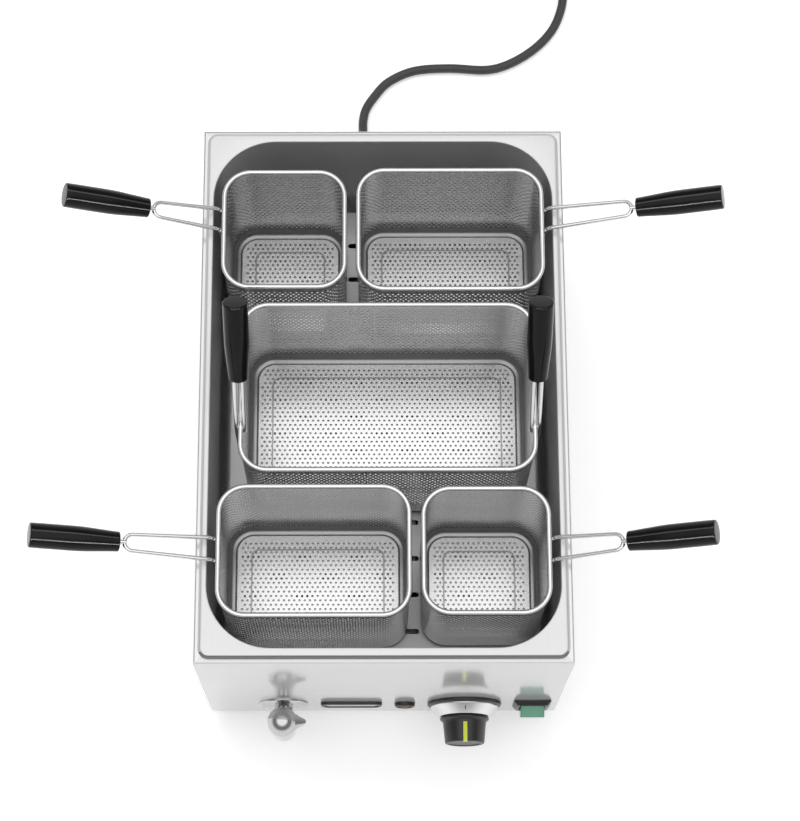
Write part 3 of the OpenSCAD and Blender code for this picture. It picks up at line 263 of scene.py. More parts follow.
def dial_finish(axis_x, axis_z, mark_low, mark_high, mark_half):
    """Turned aluminium: rings about the dial's axis, and one dark mark at the top of the cone."""
    finish = Finish("dial_silver", Metallic=1.0)
    x, _, z = finish.axes()
    across = x - axis_x
    up = z - axis_z
    radius = (across * across + up * up) ** 0.5
    rings = finish.node(
        "ShaderNodeTexNoise", {"noise_dimensions": "1D"}, {"W": radius * 900.0, "Detail": 3.0})
    bright = finish.mix(rings, grey(0.66), grey(0.80))
    mark = (abs(across) < mark_half) * (up > mark_low) * (up < mark_high)
    finish.feed("Base Color", finish.mix(mark, bright, grey(0.03)))
    finish.feed("Roughness", 0.24 + rings * 0.12)
    return finish


# Where the deck's painted shade lies: its front y and the top z below which the steel is darkened.
UPSTAND_DEPTH = 6.0
UPSTAND_TOP = 269.65
UPSTAND = (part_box("deck")[0][1] + UPSTAND_DEPTH * MM, UPSTAND_TOP * MM)
FINISHES = {finish.name: finish for finish in (
    sheet_steel("casing_steel", 0.60, 0.24, 1),
    sheet_steel("front_steel", 0.70, 0.14, 0, metal=0.25, streak=0.02),
    sheet_steel("plain_steel", 0.72, 0.22, 0),
    # The deck's steel carries painted shade below its top edge.
    sheet_steel("deck_steel", 0.70, 0.46, 1, metal=0.6, painted_foot_shade=UPSTAND),
    sheet_steel("tank_steel", 0.66, 0.42, 2, metal=0.75),
    # The basket's wall steel is painted darker and its floor steel lighter: shaded and lit copies of one
    # perforated sheet, standing in for the shade on the walls and the light on the floors.
    sheet_steel("basket_steel", 0.39, 0.24, 2, metal=0.6),
    sheet_steel("basket_floor_lit", 0.85, 0.26, 0, metal=0.7),
    # The false bottom's steel is plain steel painted darker, as painted shade for its place deep in the
    # tank.
    sheet_steel("shaded_plate_steel", 0.50, 0.34, 0),
    sheet_steel("element_steel", 0.30, 0.42, 1, warm=0.04),
    drawn_wire("wire_steel", 0.74, 0.16),
    drawn_wire("bright_steel", 0.80, 0.20),
    drawn_wire("chrome", 0.50, 0.05),
    marked_metal("brass", (0.48, 0.34, 0.12, 1), (0.66, 0.49, 0.20, 1), 0.26, 0.12, 240.0, 3.0),
    moulded("grip_black", (0.0015, 0.0015, 0.0016), 0.14, 0.0, gloss=0.17),
    moulded("control_black", (0.014, 0.014, 0.015), 0.34, 0.2),
    moulded("foot_rubber", (0.020, 0.020, 0.020), 0.62, 0.5),
    moulded("cord_fittings", (0.016, 0.016, 0.017), 0.45, 0.3),
    moulded("pale_plastic", (0.72, 0.66, 0.50), 0.45, 0.2),
    moulded("pointer_yellow", (0.70, 0.80, 0.05), 0.42, 0.1),
    moulded("window_grey", (0.20, 0.20, 0.21), 0.12, 0.0, coat=0.6, coat_rough=0.04),
    moulded("lens_amber", (0.13, 0.045, 0.012), 0.30, 0.0, gloss=0.15),
    moulded("rocker_green", (0.10, 0.36, 0.22), 0.26, 0.0, coat=0.4, coat_rough=0.1),
    moulded("cord_rubber", (0.040, 0.040, 0.042), 0.52, 0.4),
)}
print("finishes", len(FINISHES))

# %% [markdown]
# ## Shapes from arrays
# A turned piece, a bent tube and a pressed sheet are all grids of points: one parameter runs round the
# section and the other along the piece. The helpers below work out the whole grid at once in millimetres
# and join neighbouring points into faces that look outwards.

# %% Grids, lathes, tubes and lofts
def limits(node):
    """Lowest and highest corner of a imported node, in millimetres."""
    low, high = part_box(node)
    return np.array(low) / MM, np.array(high) / MM


def middle_of(node):
    """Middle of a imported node, in millimetres."""
    return sum(limits(node)) / 2


def grid_faces(rows, cols, closed):
    """Point numbers of the cells between neighbours of a grid, ordered so that the faces look outwards."""
    r = np.arange(rows if closed else rows - 1)[:, None]
    c = np.arange(cols)[None, :]
    r2 = (r + 1) % rows
    c2 = (c + 1) % cols
    cells = np.broadcast_arrays(r * cols + c, r * cols + c2, r2 * cols + c2, r2 * cols + c)
    return np.stack(cells, axis=-1).reshape(-1, 4)


def surface(rings, closed=False):
    """A skin over rings of points, with a flat cap on each end unless the rings close on themselves."""
    rows, cols = rings.shape[:2]
    faces = [grid_faces(rows, cols, closed)]
    if not closed:
        faces.append(np.arange(cols)[None, ::-1])
        faces.append((rows - 1) * cols + np.arange(cols)[None, :])
    return rings.reshape(-1, 3), faces


def join(*shapes):
    """Several shapes as one."""
    points = np.concatenate([p for p, _ in shapes])
    starts = np.cumsum([0] + [len(p) for p, _ in shapes])
    faces = [block + start for (_, blocks), start in zip(shapes, starts) for block in blocks]
    return points, faces


def placed(shape, axes, origin):
    """Turns a shape so that its own x, y and z lie along the given axes, then moves it."""
    points, faces = shape
    return points @ np.asarray(axes, float) + np.asarray(origin, float), faces


def moved(shape, origin):
    """Moves a shape and keeps its axes."""
    return placed(shape, np.eye(3), origin)


def soften(corners, cut, steps):
    """Rounds a line's inner corners: each becomes a parabola that starts and ends `cut` from the corner."""
    p = np.asarray(corners, float)
    cut = np.broadcast_to(np.asarray(cut, float), (len(p) - 2,))[:, None]
    before = p[:-2] - p[1:-1]
    after = p[2:] - p[1:-1]
    reach_before = np.linalg.norm(before, axis=1, keepdims=True)
    reach_after = np.linalg.norm(after, axis=1, keepdims=True)
    start = p[1:-1] + before * np.minimum(cut / reach_before, 0.5)
    end = p[1:-1] + after * np.minimum(cut / reach_after, 0.5)
    t = np.linspace(0.0, 1.0, steps)[None, :, None]
    curve = (1 - t) ** 2 * start[:, None] + 2 * t * (1 - t) * p[1:-1, None] + t ** 2 * end[:, None]
    return np.concatenate([p[:1], curve.reshape(-1, p.shape[1]), p[-1:]])


def lathe(profile, sides, closed=False):
    """Turns (radius, height) pairs about z: x = r cos a, y = r sin a, z = h. A solid piece's profile starts
    and ends 0.1 from the axis, where a small flat cap closes it."""
    profile = np.asarray(profile, float)
    a = np.linspace(0, 2 * math.pi, sides, endpoint=False)
    r, h = profile[:, :1], profile[:, 1:]
    rings = np.stack([r * np.cos(a), r * np.sin(a), h + 0 * a], axis=-1)
    return surface(rings, closed)


def tube(path, radius, up, sides, closed=False):
    """A round section carried along a path: p + r (cos a side + sin a over)."""
    path = np.asarray(path, float)
    ahead = np.roll(path, -1, 0) - np.roll(path, 1, 0) if closed else np.gradient(path, axis=0)
    ahead = ahead / np.linalg.norm(ahead, axis=1, keepdims=True)
    side = np.cross(np.asarray(up, float), ahead)
    side = side / np.linalg.norm(side, axis=1, keepdims=True)
    over = np.cross(ahead, side)
    a = np.linspace(0, 2 * math.pi, sides, endpoint=False)[None, :, None]
    rings = path[:, None] + radius * (np.cos(a) * side[:, None] + np.sin(a) * over[:, None])
    return surface(rings, closed)


def outline(width, length, corner, steps):
    """Points round a rounded rectangle about the origin, counter-clockwise from its right side."""
    quarter = np.arange(4)[:, None]
    turn = quarter * (math.pi / 2) + np.linspace(0, math.pi / 2, steps + 1)[None, :]
    across = np.array([1, -1, -1, 1])[:, None] * (width / 2 - corner)
    along = np.array([1, 1, -1, -1])[:, None] * (length / 2 - corner)
    points = np.stack([across + corner * np.cos(turn), along + corner * np.sin(turn)], axis=-1)
    return points.reshape(-1, 2)


def loft(rows, steps, closed=False):
    """A skin over rounded rectangles, given as rows of width, length, corner radius and height."""
    rings = [np.column_stack([outline(w, l, r, steps), np.full(4 * (steps + 1), z)]) for w, l, r, z in rows]
    return surface(np.stack(rings), closed)


def grown(size, margin):
    """A rounded rectangle's width, length and corner radius, with a margin added all round."""
    w, l, r = size
    return w + 2 * margin, l + 2 * margin, r + margin


def make_piece(name, shape, body, slot, stands_for=(), crease=35.0, finish=None):
    """Makes a mesh from a shape, with its finish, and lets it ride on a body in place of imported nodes."""
    points, faces = shape
    mesh = bpy.data.meshes.new(name)
    mesh.from_pydata((points * MM).tolist(), [], [row for block in faces for row in block.tolist()])
    mesh.validate()
    mesh.shade_smooth()
    mesh.set_sharp_from_angle(angle=math.radians(crease))
    mesh.materials.append(FINISHES[finish or slot].material)
    piece = bpy.data.objects.new(name, mesh)
    bpy.context.scene.collection.objects.link(piece)
    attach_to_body(piece, body)
    if stands_for:
        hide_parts(*stands_for)
    print(name, "faces", len(mesh.polygons))
    return piece


FRONTWARD = [[1, 0, 0], [0, 0, 1], [0, -1, 0]]
REARWARD = [[-1, 0, 0], [0, 0, 1], [0, 1, 0]]
panel_low, panel_high = limits("front_panel")
CASING_W = panel_high[0] - panel_low[0]
FRONT_Y = panel_low[1]
REAR_Y = limits("rear_panel")[1][1]
BODY_Y = (REAR_Y + FRONT_Y) / 2
print("casing length", REAR_Y - FRONT_Y)

# %% [markdown]
# ## Mains lead
# A rubber lead 9.5 mm thick leaves the rear through a tapered relief, drops to the table and runs in a
# loose curve to the right. The rest is put away as a flat two-layer coil with a tie, and ends in its
# plug. One smooth line through the route's points carries a round section, so the lead has a constant
# length and thickness.

# %% Mains lead
CORD_D = 9.5
LEAD_ROUTE = np.array([
    [-20, 46, 46], [-20, 51, 46], [-20, 56, 46], [-20, 70, 43.5], [-20, 83, 37], [-20, 94, 26],
    [-20, 104, 14.5], [-20, 117, 7], [-20, 131, 4.8], [-17, 145, 4.8], [-8, 160, 4.8], [8, 178, 4.8],
    [36, 191, 4.8], [74, 194, 4.8], [114, 192, 4.8], [141, 200, 4.8], [168, 218, 4.8], [187, 240, 4.8],
    [197, 264, 4.8], [200, 284, 4.8], [200, 304, 5.4], [200, 324, 6.4], [200, 336, 6.6], [200, 341, 6.6],
    [200, 346, 6.6],
])
COIL_STEP = CORD_D + 0.6
COIL_INNER_R = 37.0
COIL_TURNS = 4.25
COIL_RINGS = 48
PLUG_D = 37.0


def smooth_step(t):
    """0 below 0, 1 above 1, and a soft S between."""
    u = np.clip(t, 0.0, 1.0)
    return u * u * (3 - 2 * u)


def smooth_line(points, steps):
    """Catmull-Rom curve: each span is a cubic through its two points, level with their neighbours."""
    ends = np.concatenate([points[:1], points, points[-1:]])
    a, b, c, d = (ends[k:len(ends) - 3 + k, None] for k in range(4))
    t = (np.arange(steps) / steps)[None, :, None]
    span = 2 * b + (c - a) * t + (2 * a - 5 * b + 4 * c - d) * t ** 2 + (3 * b - a - 3 * c + d) * t ** 3
    return np.concatenate([0.5 * span.reshape(-1, 3), points[-1:]])


def coil_line(start):
    """The lead winds in, climbs a layer at its tightest turn, winds out on top and runs up to the plug."""
    middle = COIL_TURNS / 2
    outer = COIL_INNER_R + COIL_STEP * middle
    t = np.arange(int(COIL_TURNS * COIL_RINGS) + 1) / COIL_RINGS
    radius = COIL_INNER_R + COIL_STEP * np.abs(t - middle)
    turn = 2 * math.pi * t
    x = start[0] - outer + radius * np.cos(turn)
    y = start[1] + CORD_D + radius * np.sin(turn)
    z = start[2] + COIL_STEP * smooth_step(2 * (t - middle) + 0.5)
    coil = np.stack([x, y, z], axis=-1)
    run = math.sqrt((outer + PLUG_D / 2 + CORD_D / 2 + 2) ** 2 - outer ** 2)
    along = np.append(np.linspace(0, run - CORD_D, 11)[1:], run)
    plug_z = PLUG_D / 2 + 0.5
    rise = z[-1] + (plug_z - z[-1]) * smooth_step(along / (run - CORD_D))
    direction = np.array([-math.sin(turn[-1]), math.cos(turn[-1])])
    tail = np.column_stack([coil[-1, :2] + along[:, None] * direction, rise])
    return np.concatenate([coil, tail])


lead = smooth_line(LEAD_ROUTE, 5)
cord_path = np.concatenate([lead, coil_line(LEAD_ROUTE[-1])]) + [0, REAR_Y, 0]
mains_lead = make_piece(
    "mains_lead", tube(cord_path, CORD_D / 2, (0, 0, 1), 20), "cooker", "cord_rubber",
    ["cord_lead", "cord_coil"])

RELIEF_R = 8.9
RELIEF_TAPER = 2.75
RIBS = 7
GROOVE = 0.9
relief_low, relief_high = limits("strain_relief")
gland_x, _, gland_z = middle_of("cord_gland")
relief_at = np.linspace(0.0, 1.0, 73)
grooved = (np.cos(relief_at * 2 * math.pi * RIBS) < -0.25) * (relief_at < 0.93)
relief_r = RELIEF_R - RELIEF_TAPER * relief_at - GROOVE * grooved
relief_profile = np.column_stack([relief_r, relief_at * (relief_high[1] - relief_low[1])])
relief = make_piece(
    "ribbed_relief", placed(lathe(relief_profile, 40), REARWARD, [gland_x, relief_low[1], gland_z]),
    "cooker", "cord_fittings", ["strain_relief"])

LEFTWARD = [[0, 1, 0], [0, 0, 1], [-1, 0, 0]]
plug_low, plug_high = limits("plug_body")
plug_length = plug_high[0] - plug_low[0]
plug_profile = soften([
    [0.1, 0.0], [6.6, 0.0], [7.4, 6.0], [9.0, 16.0], [15.5, 23.0], [18.2, 27.0], [18.4, 47.5],
    [18.4, plug_length], [0.1, plug_length],
], [0.6, 2, 4, 3, 2, 2, 1.0], 5)
plug = make_piece(
    "lead_plug", placed(lathe(plug_profile, 48), LEFTWARD, cord_path[-1]), "cooker", "cord_fittings",
    ["plug_body"])

# %% [markdown]
# ## Casing, deck and tank
# The casing is folded from sheet: each wall has a small bend where it turns in at its top and foot, and
# the bend catches a thin line of light. The pressed deck stands on the casing's flange with a rounded
# edge, and the drawn tank hangs under it with large corner radii and a soft fillet round its floor.

# %% Folded walls
SHEET = 1.2
BEND_R = 2.0
TOP_FLANGE = 7.0
FOOT_FLANGE = 42.0


def folded_wall(length, height):
    """A wall's section, round its two bends, carried along its length; both ends are cut to a mitre."""
    outer = soften([[TOP_FLANGE + SHEET, height], [0, height], [0, 0], [FOOT_FLANGE + SHEET, 0]], BEND_R, 6)
    inner = soften([
        [FOOT_FLANGE + SHEET, SHEET], [SHEET, SHEET], [SHEET, height - SHEET],
        [TOP_FLANGE + SHEET, height - SHEET],
    ], BEND_R - SHEET, 6)
    section = np.concatenate([outer, inner])
    ends = np.array([-1.0, 1.0])[:, None] * (length / 2 - section[:, 0])
    rings = np.stack(np.broadcast_arrays(section[:, 0], ends, section[:, 1]), axis=-1)
    return surface(rings[::-1])


def wall_at(node, name, slot, inward):
    """Stands a folded wall where a packed panel is; inward is the direction of its flanges."""
    low, high = limits(node)
    inward = np.array(inward, float)
    along = np.cross([0, 0, 1], inward)
    length = REAR_Y - FRONT_Y if inward[0] else CASING_W
    face = np.where(inward > 0, low, np.where(inward < 0, high, [0.0, BODY_Y, 0.0]))
    origin = [face[0], face[1], low[2]]
    shape = placed(folded_wall(length, high[2] - low[2]), [inward, along, [0, 0, 1]], origin)
    make_piece(name, shape, "cooker", slot, [node])


wall_at("left_side_panel", "left_wall", "casing_steel", [1, 0, 0])
wall_at("right_side_panel", "right_wall", "casing_steel", [-1, 0, 0])
wall_at("rear_panel", "rear_wall", "casing_steel", [0, -1, 0])
wall_at("front_panel", "front_wall", "front_steel", [0, 1, 0])

# %% Deck
TANK_FLANGE = 4.5
TANK_R = 58.0
TANK_FILLET = 8.0
DECK_R = 10.0
DECK_EDGE = 4.0
DECK_GAP = 0.5
deck_low, deck_high = limits("deck")
tank_low, tank_high = limits("tank")
deck = (*(deck_high - deck_low)[:2], DECK_R)
tank = (*(tank_high - tank_low)[:2] - 2 * TANK_FLANGE, TANK_R)


def quarter_round(radius, steps):
    """A quarter circle's offsets from its corner: r (1 - sin a) closes while r (1 - cos a) opens."""
    turn = np.linspace(0, math.pi / 2, steps + 1)
    return radius * (1 - np.sin(turn)), radius * (1 - np.cos(turn))


deck_top = deck_high[2]
deck_foot = deck_low[2] + DECK_GAP
deck_rows = [(*deck, deck_foot)]
deck_rows += [(*grown(deck, -b), deck_top - a) for a, b in zip(*quarter_round(DECK_EDGE, 6))]
deck_rows += [(*grown(tank, a), deck_top - b) for a, b in zip(*quarter_round(SHEET, 4))]
deck_rows += [(*grown(deck, -SHEET), z) for z in (deck_top - SHEET, deck_foot)]
deck_shape = moved(loft(deck_rows, 16, True), [0, BODY_Y, 0])
make_piece("pressed_deck", deck_shape, "cooker", "deck_steel", ["deck"])

# %% Tank
WALL = 1.2


def fill_flat(points, edges):
    """Triangles of the flat area between closed lines of points, all facing up."""
    work = bmesh.new()
    spots = [work.verts.new((x, y, 0.0)) for x, y in points]
    lines = [work.edges.new((spots[a], spots[b])) for a, b in edges]
    bmesh.ops.triangle_fill(work, use_beauty=True, use_dissolve=False, edges=lines, normal=(0, 0, 1))
    work.verts.index_update()
    triangles = np.array([[v.index for v in face.verts] for face in work.faces])
    work.free()
    a, b, c = (points[triangles[:, k]] for k in range(3))
    area = (b[:, 0] - a[:, 0]) * (c[:, 1] - a[:, 1]) - (b[:, 1] - a[:, 1]) * (c[:, 0] - a[:, 0])
    return np.where(area[:, None] < 0, triangles[:, ::-1], triangles)


def tub_rows(size, foot, fillet):
    """Rows of a tub's foot, from its flat floor up round the fillet."""
    return [(*grown(size, -a), foot + b) for a, b in zip(*quarter_round(fillet, 6))]


tank_foot = tank_low[2]
tank_rim = tank_high[2]
tank_rows = tub_rows(grown(tank, WALL), tank_foot, TANK_FILLET + WALL) + [
    (*grown(tank, WALL), tank_rim - WALL), (*grown(tank, TANK_FLANGE), tank_rim - WALL),
    (*grown(tank, TANK_FLANGE), tank_rim), (*tank, tank_rim),
] + tub_rows(tank, tank_foot + WALL, TANK_FILLET)[::-1]
make_piece("drawn_tank", moved(loft(tank_rows, 16), [0, BODY_Y, 0]), "cooker", "tank_steel", ["tank"])

# %% [markdown]
# ## False bottom
# A slotted steel plate on two legs keeps the baskets off the heating element. Its short slots stand in
# staggered rows, so the outline and every slot are closed lines and the flat area between them is filled.

# %% False bottom
SLOT_W = 5.0
SLOT_L = 18.0
SLOT_PITCH = 51.0
SLOT_ROW = 18.0
END_MARGIN = 20.0
CORNER_MARGIN = 8.0
PLATE_T = 1.5
PLATE_R = 48.0
LEG_W = 180.0
LEG_R = 0.4
plate_low, plate_high = limits("false_bottom")
plate_w, plate_l = (plate_high - plate_low)[:2]


def closed_edges(start, count):
    """Edges of a closed line of points numbered from start."""
    k = np.arange(count)
    return np.column_stack([start + k, start + (k + 1) % count])


def staggered(rows, cols, pitch, row):
    """Places in rows that are shifted by half a pitch in turn."""
    j, i = np.mgrid[rows, cols]
    return np.stack([(i + 0.5 * (j % 2)) * pitch, j * row], axis=-1)


def slotted_plate(width, length, corner, thick):
    """A plate with staggered round-ended slots, wherever a slot keeps clear of the plate's edge."""
    rows = int(length // (2 * SLOT_ROW))
    centres = staggered(slice(-rows, rows + 1), slice(-4, 5), SLOT_PITCH, SLOT_ROW).reshape(-1, 2)
    x, y = np.abs(centres).T
    corner_gap = np.hypot(
        np.maximum(x + SLOT_L / 2 - width / 2 + corner, 0), np.maximum(y - length / 2 + corner, 0))
    keep = (x < width / 2 - SLOT_L) & (y < length / 2 - END_MARGIN) & (corner_gap < corner - CORNER_MARGIN)
    centres = centres[keep]
    edge = outline(width, length, corner, 10)
    slot = outline(SLOT_L, SLOT_W, SLOT_W / 2 - 0.01, 4)
    slots = (centres[:, None] + slot[None]).reshape(-1, 2)
    flat = np.concatenate([edge, slots])
    starts = len(edge) + len(slot) * np.arange(len(centres))
    loops = np.concatenate([closed_edges(0, len(edge))] + [closed_edges(k, len(slot)) for k in starts])
    top = fill_flat(flat, loops)
    points = np.concatenate([np.column_stack([flat, np.full(len(flat), z)]) for z in (0.0, thick)])
    n = len(flat)
    sides = np.column_stack([loops[:, 0], loops[:, 1], loops[:, 1] + n, loops[:, 0] + n])
    sides[len(edge):] = sides[len(edge):, ::-1]
    return points, [top + n, top[:, ::-1], sides]


plate_foot = plate_high[2] - PLATE_T
leg_y = (plate_l - PLATE_T) / 2
leg = loft([(LEG_W, PLATE_T, LEG_R, plate_low[2]), (LEG_W, PLATE_T, LEG_R, plate_foot)], 2)
# The plate takes the darker copy of plain steel, as painted shade for the bottom of the tank.
make_piece(
    "slotted_plate", join(
        moved(slotted_plate(plate_w, plate_l, PLATE_R, PLATE_T), [0, BODY_Y, plate_foot]),
        moved(leg, [0, BODY_Y - leg_y, 0]), moved(leg, [0, BODY_Y + leg_y, 0])),
    "false_bottom", "plain_steel", ["false_bottom"], finish="shaded_plate_steel")

# %% [markdown]
# ## Baskets
# Each basket is drawn from sheet with round holes of 2.6 mm in staggered rows 5 mm apart. Holes painted
# on would vanish from the side, so they are real: the wall is unrolled into a strip of hexagonal cells
# with a hole in each, and the strip is wrapped round the rounded rectangle, once for each face of the
# sheet.

# %% Perforated sheet
HOLE_D = 2.6
HOLE_PITCH = 5.0
BASKET_SHEET = 0.3
RIM_OVER = 2.0
BASKET_R = 25.0
BASKET_FILLET = 7.0
PLAIN_BAND = 9.0
FLOOR_BORDER = 2.0
FLOOR_LIFT = 2.0
FOLD_INSET = 22.0
FOLD_W = 1.6
FOLD_H = 0.3
FOLD_R = 8.0
WALL_MARGIN = 0.3
FLOOR_MARGIN = 0.6
SIX = np.radians(30 + 60 * np.arange(6))
HEXAGON = np.stack([np.cos(SIX), np.sin(SIX)], axis=-1)
TURNED_HEXAGON = np.stack([np.cos(SIX + math.pi / 6), np.sin(SIX + math.pi / 6)], axis=-1)
NEXT_SIX = np.roll(np.arange(6), -1)


def wrap(s, inset, z, w, l, r):
    """The point at distance s round a rounded rectangle, moved in by inset, at height z."""
    a, b, q = w - 2 * r, l - 2 * r, math.pi * r / 2
    stops = np.cumsum([0, b, q, a, q, b, q, a, q])
    s = np.mod(np.round(s, 7), stops[-1])
    part = np.clip(np.searchsorted(stops, s, side="right") - 1, 0, 7)
    quarter = part // 2
    bend = part % 2 == 1
    gone = s - stops[part]
    base = quarter * (math.pi / 2)
    turn = base + np.where(bend, gone / r, 0.0)
    left = np.where(bend, 0.0, np.where(quarter % 2 == 0, b, a) - gone)
    centre_x = np.array([1, -1, -1, 1])[quarter] * a / 2
    centre_y = np.array([1, 1, -1, -1])[quarter] * b / 2
    x = centre_x + (r - inset) * np.cos(turn) + np.sin(base) * left
    y = centre_y + (r - inset) * np.sin(turn) - np.cos(base) * left
    return np.stack(np.broadcast_arrays(x, y, z), axis=-1)


def pairs(line):
    """Each point of a line with the next."""
    return np.stack([line[:-1], line[1:]], axis=1)


def bridge(first, second):
    """A face from each edge of one set to the matching edge of another."""
    return np.concatenate([first, second[:, ::-1]], axis=1)


def merged(points, grain):
    """Finds equal points, on a grid of 1 / grain mm: the first of each kind, and every point's kind."""
    keys = np.round(points * grain).astype(np.int64)
    keys -= keys.min(0)
    code = np.ravel_multi_index(tuple(keys.T), keys.max(0) + 1)
    _, first, kind = np.unique(code, return_index=True, return_inverse=True)
    return first, kind.reshape(-1)


def weld(quads):
    """Joins loose faces, given as arrays of their corner points, at their equal corners."""
    loose = np.concatenate([q.reshape(-1, 3) for q in quads])
    first, kind = merged(loose, 1000)
    numbers = np.split(kind, np.cumsum([q.size // 3 for q in quads])[:-1])
    return loose[first], [part.reshape(-1, q.shape[-2]) for part, q in zip(numbers, quads)]


def cell_faces(centre, tip):
    """Six faces round each hole of a hexagonal cell, and the hole's own points."""
    corner = centre[:, None] + tip * HEXAGON
    hole = centre[:, None] + HOLE_D / 2 * TURNED_HEXAGON
    faces = np.stack([corner, corner[:, NEXT_SIX], hole[:, NEXT_SIX], hole], axis=2)
    return faces.reshape(-1, 4, 2), np.stack([hole, hole[:, NEXT_SIX]], axis=2).reshape(-1, 2, 2)


def perforated_wall(w, l, height):
    """The wall, its fillet and the floor's border: an outer and an inner skin, joined at every hole."""
    r, f, t = BASKET_R, BASKET_FILLET, BASKET_SHEET
    around = 2 * (w + l) - 8 * r + 2 * math.pi * r
    count = round(around / HOLE_PITCH)
    pitch = around / count
    row = pitch * math.sqrt(3) / 2
    tip = pitch / math.sqrt(3)
    top = height - PLAIN_BAND - tip
    rows = int((top - f - tip - WALL_MARGIN) // row) + 1
    centre = staggered(slice(rows), slice(count), pitch, -row) + [0, top]
    cells, holes = cell_faces(centre.reshape(-1, 2), tip)

    def band(line, reach, edge):
        """Faces between a row's zigzag and a straight edge; reach is the zigzag's own direction."""
        s, z = line[:, 0], line[:, 1]
        steps = ((-1, tip / 2), (0, tip), (1, tip / 2))
        zig = np.stack([np.stack([s + k * pitch / 2, z + reach * peak], -1) for k, peak in steps], 1)
        rim = zig.copy()
        rim[:, :, 1] = edge
        faces = np.stack([zig[:, :-1], zig[:, 1:], rim[:, 1:], rim[:, :-1]], axis=2).reshape(-1, 4, 2)
        return faces if reach > 0 else faces[:, ::-1]

    strip = np.concatenate([cells, band(centre[0], 1, height), band(centre[-1], -1, f)])
    walls = [wrap(strip[..., 0], d, strip[..., 1], w, l, r) for d in (0.0, t)]
    rims = [wrap(holes[..., 0], d, holes[..., 1], w, l, r) for d in (0.0, t)]
    s = np.arange(2 * count + 1) * pitch / 2
    skins = []
    for d, fillet in ((0.0, f), (t, f - t)):
        closing, opening = quarter_round(fillet, 5)
        inset = np.append(f + FLOOR_BORDER, d + closing)[:, None]
        z = np.append(d + FLOOR_LIFT, d + opening)[:, None]
        skins.append(wrap(s[None], inset, z, w, l, r))
    feet = [np.stack([g[:-1, :-1], g[:-1, 1:], g[1:, 1:], g[1:, :-1]], axis=2) for g in skins]
    end = bridge(*[pairs(g[0])[:, ::-1] for g in skins])
    lip = bridge(*[pairs(wrap(s, d, height, w, l, r)) for d in (0.0, t)])
    return weld([walls[0], walls[1][:, ::-1], bridge(*rims), feet[0], feet[1][:, :, ::-1], end, lip])


def perforated_floor(w, l):
    """A flat plate of hexagonal cells, with the leftover edge filled by triangles."""
    inset = BASKET_FILLET + FLOOR_BORDER
    w, l, r = w - 2 * inset, l - 2 * inset, BASKET_R - inset
    row = HOLE_PITCH * math.sqrt(3) / 2
    tip = HOLE_PITCH / math.sqrt(3)
    span = slice(-40, 41)
    centre = staggered(span, span, HOLE_PITCH, row).reshape(-1, 2)
    past = np.abs(centre) - [w / 2 - r, l / 2 - r]
    outside = np.hypot(*np.maximum(past, 0).T) + np.minimum(past.max(1), 0) - r
    centre = centre[outside < -tip - FLOOR_MARGIN]
    cells, holes = cell_faces(centre, tip)
    corner = (centre[:, None] + tip * HEXAGON).reshape(-1, 2)
    first, number = merged(corner, 100)
    number = number.reshape(-1, 6)
    edges = np.sort(np.stack([number, number[:, NEXT_SIX]], axis=-1).reshape(-1, 2), axis=1)
    edges, uses = np.unique(edges, axis=0, return_counts=True)
    used, renumbered = np.unique(edges[uses == 1], return_inverse=True)
    edge = outline(w, l, r, 8)
    flat = np.concatenate([edge, corner[first][used]])
    lines = np.concatenate([closed_edges(0, len(edge)), renumbered.reshape(-1, 2) + len(edge)])
    fill = flat[fill_flat(flat, lines)]

    def lift(shape, z):
        """Flat points at height z."""
        return np.concatenate([shape, np.full(shape.shape[:-1] + (1,), z)], axis=-1)

    t = BASKET_SHEET
    hole_sides = bridge(lift(holes, t), lift(holes, 0.0))
    ring = pairs(np.concatenate([edge, edge[:1]]))
    sides = bridge(lift(ring, 0.0), lift(ring, t))
    return weld([
        lift(cells, t), lift(cells, 0.0)[:, ::-1], hole_sides, sides, lift(fill, t),
        lift(fill, 0.0)[:, ::-1],
    ])


# %% [markdown]
# ### Rims, handles and grips
# A wire is welded round each rim. A corner basket's handle is one wire bent like a hairpin: it comes up
# the wall, bends out over the deck, and turns back on itself at the stem of a black turned grip. The
# large basket has two grips on hairpins that stand up and lean back.

# %% Wires and grips
RIM_D = 5.0
WIRE_D = 4.0
STEM_D = 5.0
LEG = 42.0
BEND = 8.0
GRIP_L = 80.0
HOLE_DEPTH = 22.0
WIRE_GAP = 20.0
LOOP_GAP = 15.0
STEM_SHOW = 5.0
WELD = 0.5
RIM_GAP = 0.1
WIRE_CREASE = 60.0
ACROSS = np.array([0.0, 1.0, 0.0])


def rim_wire(w, l):
    """The rim's loop of wire, sized over its outside."""
    loop = outline(w - RIM_D, l - RIM_D, BASKET_R + RIM_OVER - RIM_D / 2, 12)
    return tube(np.column_stack([loop, np.zeros(len(loop))]), RIM_D / 2, (0, 0, 1), 18, True)


